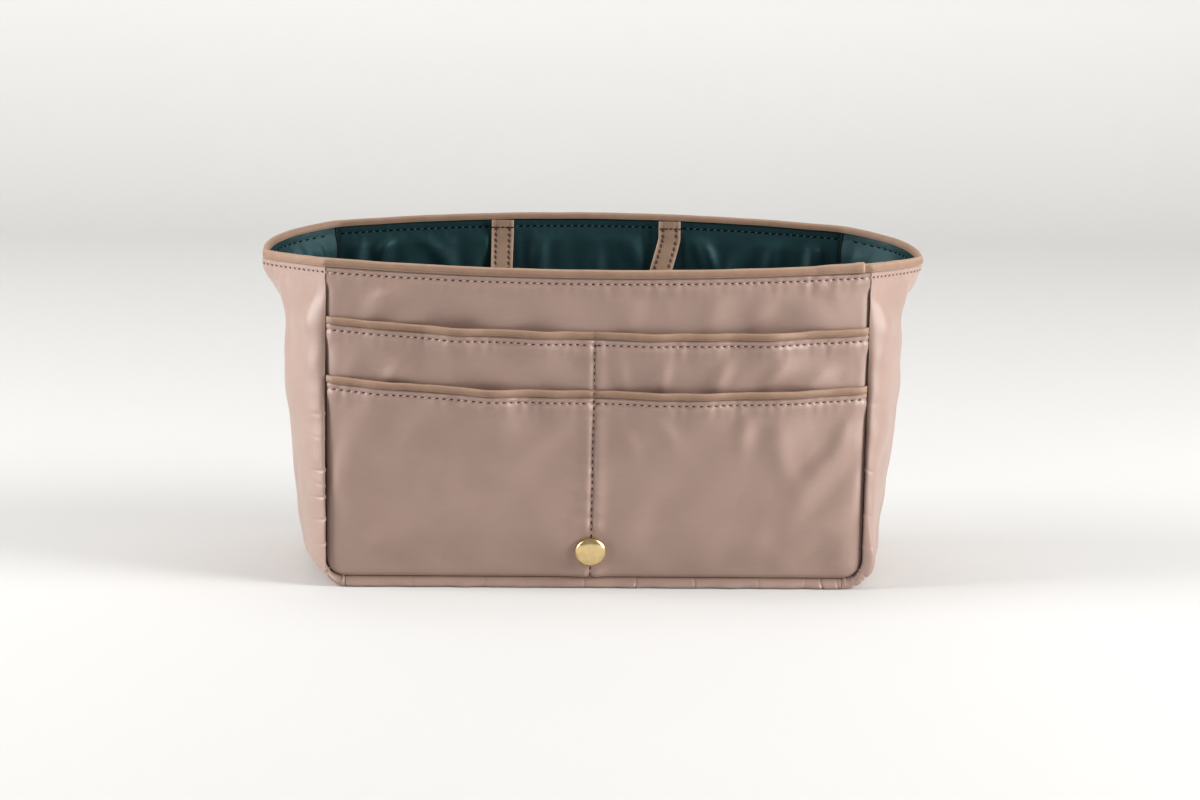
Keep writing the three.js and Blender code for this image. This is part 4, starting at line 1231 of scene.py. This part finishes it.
def loop_line(count):
    """The hanging loop's middle line, a centripetal curve through the part's own points."""
    middle, half = (handle_left + handle_right) / 2, (handle_right - handle_left) / 2
    low = middle + handle_swing
    table = [(handle_left, 0, 0), (handle_left, -0.01, 0.3), (handle_left, 0.01, 0.6),
             (low, -0.55, 0.89), (low, 0, 1), (low, 0.55, 0.87), (handle_right, -0.32, 0.58),
             (handle_right, -0.14, 0.27), (handle_right, -0.002, 0.03), (handle_right, 0, 0)]
    p = np.array([(a + b * half, -c * handle_drop) for a, b, c in table])
    p = np.concatenate([[2 * p[0] - p[1]], p, [2 * p[-1] - p[-2]]])
    step = np.diff(p, axis=0)
    d = np.maximum(np.linalg.norm(step, axis=1) ** 0.5, 1e-4)
    out = []
    for k in range(1, len(p) - 2):
        start, end = (step[m] / d[m] - (step[m] + step[m + 1]) / (d[m] + d[m + 1]) + step[m + 1] / d[m + 1]
                      for m in (k - 1, k))
        start, end = start * d[k], end * d[k]
        t = np.linspace(0, 1, 60, endpoint=k == len(p) - 3)[:, None]
        a, b = p[k], p[k + 1]
        square, cube = -3 * a + 3 * b - 2 * start - end, 2 * a - 2 * b + start + end
        out.append(a + start * t + square * t**2 + cube * t**3)
    line = np.concatenate(out)
    arc = lengths(line)
    return interpolated(np.linspace(0, arc[-1], count), arc, line)


def interpolated(want, along, values):
    return np.stack([np.interp(want, along, column) for column in values.T], -1)


def lining_face(side, x, z):
    inset = lining_start(panel_rim(side, x) - z) + lining
    return half_depth - inset + panel_bow(side, x, z)


def unit(vectors):
    return vectors / np.linalg.norm(vectors, axis=1, keepdims=True)


def strap_frames(side):
    """Centres, width and thickness directions along one whole strap, and its fold's height and depth."""
    line = min(float(panel_rim(side, handle_left)), float(panel_rim(side, handle_right))) - sewn_line_drop
    flat = loop_line(380)
    heading = unit(np.gradient(flat, axis=0))
    travel = np.linspace(0, 1, len(flat))
    turn = smooth(np.minimum(travel, 1 - travel) / 0.42) * math.pi / 2
    wide = xyz(-heading[:, 1] * np.cos(turn), np.sin(turn), heading[:, 0] * np.cos(turn))
    thick = unit(np.cross(xyz(heading[:, 0], 0.0, heading[:, 1]), wide))
    z = line - 0.3 + flat[:, 1]
    reach = np.sin(turn) * strap_width / 2 + 1.4 * smooth(-flat[:, 1] / 20)
    wall = lining_face(side, flat[:, 0], z) - layer_gap - half_strap - reach
    near = min(float(lining_face(side, handle_left - strap_width / 2, line)),
               float(lining_face(side, handle_right + strap_width / 2, line)))
    hinge = near - layer_gap - half_strap
    centre = xyz(flat[:, 0], side * np.minimum(hinge, wall), z)
    ends = []
    for x in (handle_left, handle_right):
        end_z = np.linspace(float(panel_rim(side, x)) - inner_leg - 0.15, line + 0.25, 14)
        end_y = np.minimum(lining_face(side, x, end_z), near + 0.35) - layer_gap - half_strap
        ends.append(xyz(x, side * end_y, end_z))
    centre = np.concatenate([ends[0], centre, ends[1][::-1]])
    for _ in range(30):
        centre[1:-1, 1] = (centre[:-2, 1] + 2 * centre[1:-1, 1] + centre[2:, 1]) / 4
    sewn = np.ones((14, 1))
    wide = np.concatenate([sewn * (1.0, 0, 0), wide, sewn * (-1.0, 0, 0)])
    thick = np.concatenate([sewn * (0, -1.0, 0), thick, sewn * (0, -1.0, 0)])
    return centre, wide, thick, line, hinge


half_face = [0, 1.8, 2.7, 3.2, 3.6, 3.9, 4.2, 4.7, 5.4, 6.0]
face_a = np.array([-a for a in half_face[:0:-1]] + half_face)


def handle(name, side):
    """A strap with its stitches, which blends from the shell to the free loop under its sewn ends."""
    centre, wide, thick, line, hinge = strap_frames(side)
    arc = lengths(centre)
    along = np.linspace(0, arc[-1], int(arc[-1] / (strap_pitch / 5)) + 1)
    centre, wide, thick = (interpolated(along, arc, values) for values in (centre, wide, thick))
    wide, thick = unit(wide), unit(thick)
    a = np.concatenate([face_a, [6.22, 6.3, 6.22], face_a[::-1], [-6.22, -6.3, -6.22]])
    face = np.concatenate([np.ones(19), [0.55, 0, -0.55], -np.ones(19), [-0.55, 0, 0.55]])
    wear_and_light = np.where((np.abs(a) > 5.2), np.where(np.abs(a) > 6.1, 1.0, 0.9), 0.1)
    pull = np.cos(math.pi * along[:, None] / strap_pitch) ** 2
    groove = hump(np.abs(a) - strap_row, 0.42) * (0.1 + 0.26 * pull)
    pillow = 0.12 * hump(np.abs(a), 2.6) + 0.1 * hump(np.abs(a) - 5.4, 0.5)
    offset = face * np.where(np.abs(face) > 0.9, half_strap - groove + pillow - 0.12, half_strap - 0.1)
    edge = 1 + 0.01 * ripple(along, 131, 20, 60)[:, None]
    rings = centre[:, None] + wide[:, None] * (a * edge)[..., None] + thick[:, None] * offset[..., None]
    strap = swept(f"{name}_strap", rings, wear_and_light, strap_skin, along=along, body=None)

    def on_strap(s, middle, across, lift, sign, place):
        at, out, up = (interpolated(s.ravel(), along, values).reshape(*s.shape, 3)
                       for values in (centre, wide, thick))
        return at + out * (place + across)[..., None] + up * (sign * (half_strap - 0.16 + lift))[..., None]

    rows = [stitch_row(partial(on_strap, sign=sign, place=place), 1.0, along[-1] - 1.0, strap_pitch,
                       2.3, 0.36, 0.06, lean=0.9) for sign in (-1, 1) for place in (-strap_row, strap_row)]
    stitches = join_stitches(f"{name}_strap_stitches", rows, strap_thread, None)
    top, low = (0.0, side * hinge * MM, (line + 1.6) * MM), (0.0, side * hinge * MM, (line - 5.0) * MM)
    for obj in (strap, stitches):
        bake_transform(obj)
        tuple(top)
        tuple(low)
    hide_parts(name, f"{name}_left_end", f"{name}_right_end")

    def held(s, middle, across, lift, x):
        rim = panel_rim(side, x) - rim_row
        y = min(float(lining_face(side, x, rim)), hinge + half_strap + layer_gap + 0.35)
        return xyz(s, side * (y - layer_gap - strap_thickness - lift), rim + across)

    rows = [stitch_row(partial(held, x=x), x - 7.2, x + 7.6, 2.7, 2.5, 0.32, 0.05)
            for x in (handle_left, handle_right)]
    join_stitches(f"{name}_strap_hold_stitches", rows, black_thread_and_hole_shadow)


for name, side in walls.items():
    handle(f"{name}_handle", side)


# The stud


def stud_place():
    """Where the stud sits: its foot on the front pocket, leaning with it."""
    def face(z):
        x = np.array(stud_x)
        gap = pocket_gap(middle_mouth, x, z) + pocket_gap(front_mouth, x, z) + 2 * pocket_sheet
        return -(half_depth + float(panel_bow(-1, x, z) + gap))
    low, high, mid = (face(stud_z + away) for away in (-stud_radius, stud_radius, 0))
    lean = math.atan2(high - low, 2 * stud_radius)
    y = (low + high) / 2 - max(0.0, (low + high) / 2 - mid) - 0.7
    return Matrix.Translation((stud_x, y, stud_z)) @ Matrix.Rotation(math.pi / 2 - lean, 4, "X")


dome = [(stud_radius * math.sin(a), 1.2 + 3.4 * math.cos(a))
        for a in np.linspace(0.02, math.pi / 2 - 0.3, 22)]
rim_edge = [(8.28, 2.1), (8.42, 2.0), (8.5, 1.75), (8.58, 1.5), (8.6, 1.2), (8.6, 0.35), (8.52, 0.12),
            (8.3, 0)]
shank = [(1.3, 0), (1.1, -0.2), (1.1, -4.6)]
radius, rise = np.array(dome + rim_edge + shank).T[..., None]
angle = np.linspace(0, 2 * math.pi, 97)[:-1]
place = np.array(stud_place())
points = xyz(radius * np.cos(angle), radius * np.sin(angle), rise).reshape(-1, 3)
points = points @ place[:3, :3].T + place[:3, 3]
faces = tube_faces(points, len(radius), len(angle), shift=1)
stud = make_object("round_stud", points, faces, gold, sharp=30)
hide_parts("stud")

for node_name, material in (("base_board", board), ("stud_washer", brass)):
    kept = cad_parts[node_name]
    kept.data.materials.clear()
    kept.data.materials.append(material)


# Floor, light and camera, in metres


def linked(name, data):
    obj = bpy.data.objects.new(name, data)
    bpy.context.scene.collection.objects.link(obj)
    return obj


def stage_sheet():
    """A pale floor that curves up into a backdrop, painted lighter with height to make up for the weaker
    light on its upright part.
    """
    line = [(-3.0, 0.0)]
    line += [(1.3 + 0.7 * math.sin(a), 0.7 - 0.7 * math.cos(a)) for a in np.linspace(0, math.pi / 2, 14)]
    line += [(2.0, 4.0)]
    mesh = bpy.data.meshes.new("floor")
    mesh.from_pydata([(x, y, z) for y, z in line for x in (-4.0, 4.0)], [],
                     [(2 * i, 2 * i + 1, 2 * i + 3, 2 * i + 2) for i in range(len(line) - 1)])
    mesh.polygons.foreach_set("use_smooth", [True] * len(mesh.polygons))
    material, tree = start_material("pale_floor")
    place = object_place(tree)
    # Painted light: the colour rises with height, from 211 on the floor to 226 up the backdrop
    height = scaled(tree, add(tree, "SeparateXYZ", "Z", {"Vector": place}), 5.0)
    shade = calc(tree, "ADD", height, scaled(tree, noise(tree, place, 400), 0.2))
    tone = tones(tree, shade, 0.05, 1.0, [(211, 210, 208), (226, 225, 223)])
    end_material(tree, tone, 0.85, None, {"Specular IOR Level": 0.1})
    mesh.materials.append(material)
    linked("floor", mesh)


stage_sheet()

middle = Vector((0.0, 0.0, 0.1))
for name, place, size, power in (("left_softbox", (-1.9, -0.21, 0.8), (0.9, 1.5), 52),
                                 ("right_softbox", (1.8, -0.6, 0.8), (0.9, 1.5), 58),
                                 ("top_softbox", (0.1, 0.3, 1.9), (1.6, 1.2), 10)):
    light = bpy.data.lights.new(name, "AREA")
    light.shape = "RECTANGLE"
    light.size, light.size_y = size
    light.energy = power
    obj = linked(name, light)
    obj.location = place
    obj.rotation_euler = (middle - Vector(place)).to_track_quat("-Z", "Y").to_euler()

world = bpy.data.worlds.new("studio")
world.use_nodes = True
background = world.node_tree.nodes["Background"]
background.inputs["Color"].default_value = linear(240, 240, 240)
background.inputs["Strength"].default_value = 0.35
bpy.context.scene.world = world
bpy.context.scene.view_settings.view_transform = "Standard"

# The camera looks down by pitch, to the right by yaw, and is turned by roll about its own line of sight
target, distance = Vector((1.5, -63.5, 104.5)) * MM, 1.848
pitch, yaw, roll = math.radians(10.70), math.radians(2.72), math.radians(1.00)
forward = Vector((math.sin(yaw) * math.cos(pitch), math.cos(yaw) * math.cos(pitch), -math.sin(pitch)))
right = Vector((math.cos(yaw), -math.sin(yaw), 0))
up = right.cross(forward)
turned_right = math.cos(roll) * right + math.sin(roll) * up
turned_up = -math.sin(roll) * right + math.cos(roll) * up
camera = linked("camera", bpy.data.cameras.new("camera"))
camera.data.sensor_width = 36.0
camera.data.lens = 102.0
axes = Matrix((turned_right, turned_up, -forward)).transposed().to_4x4()
camera.matrix_world = Matrix.Translation(target - forward * distance) @ axes
bpy.context.scene.camera = camera
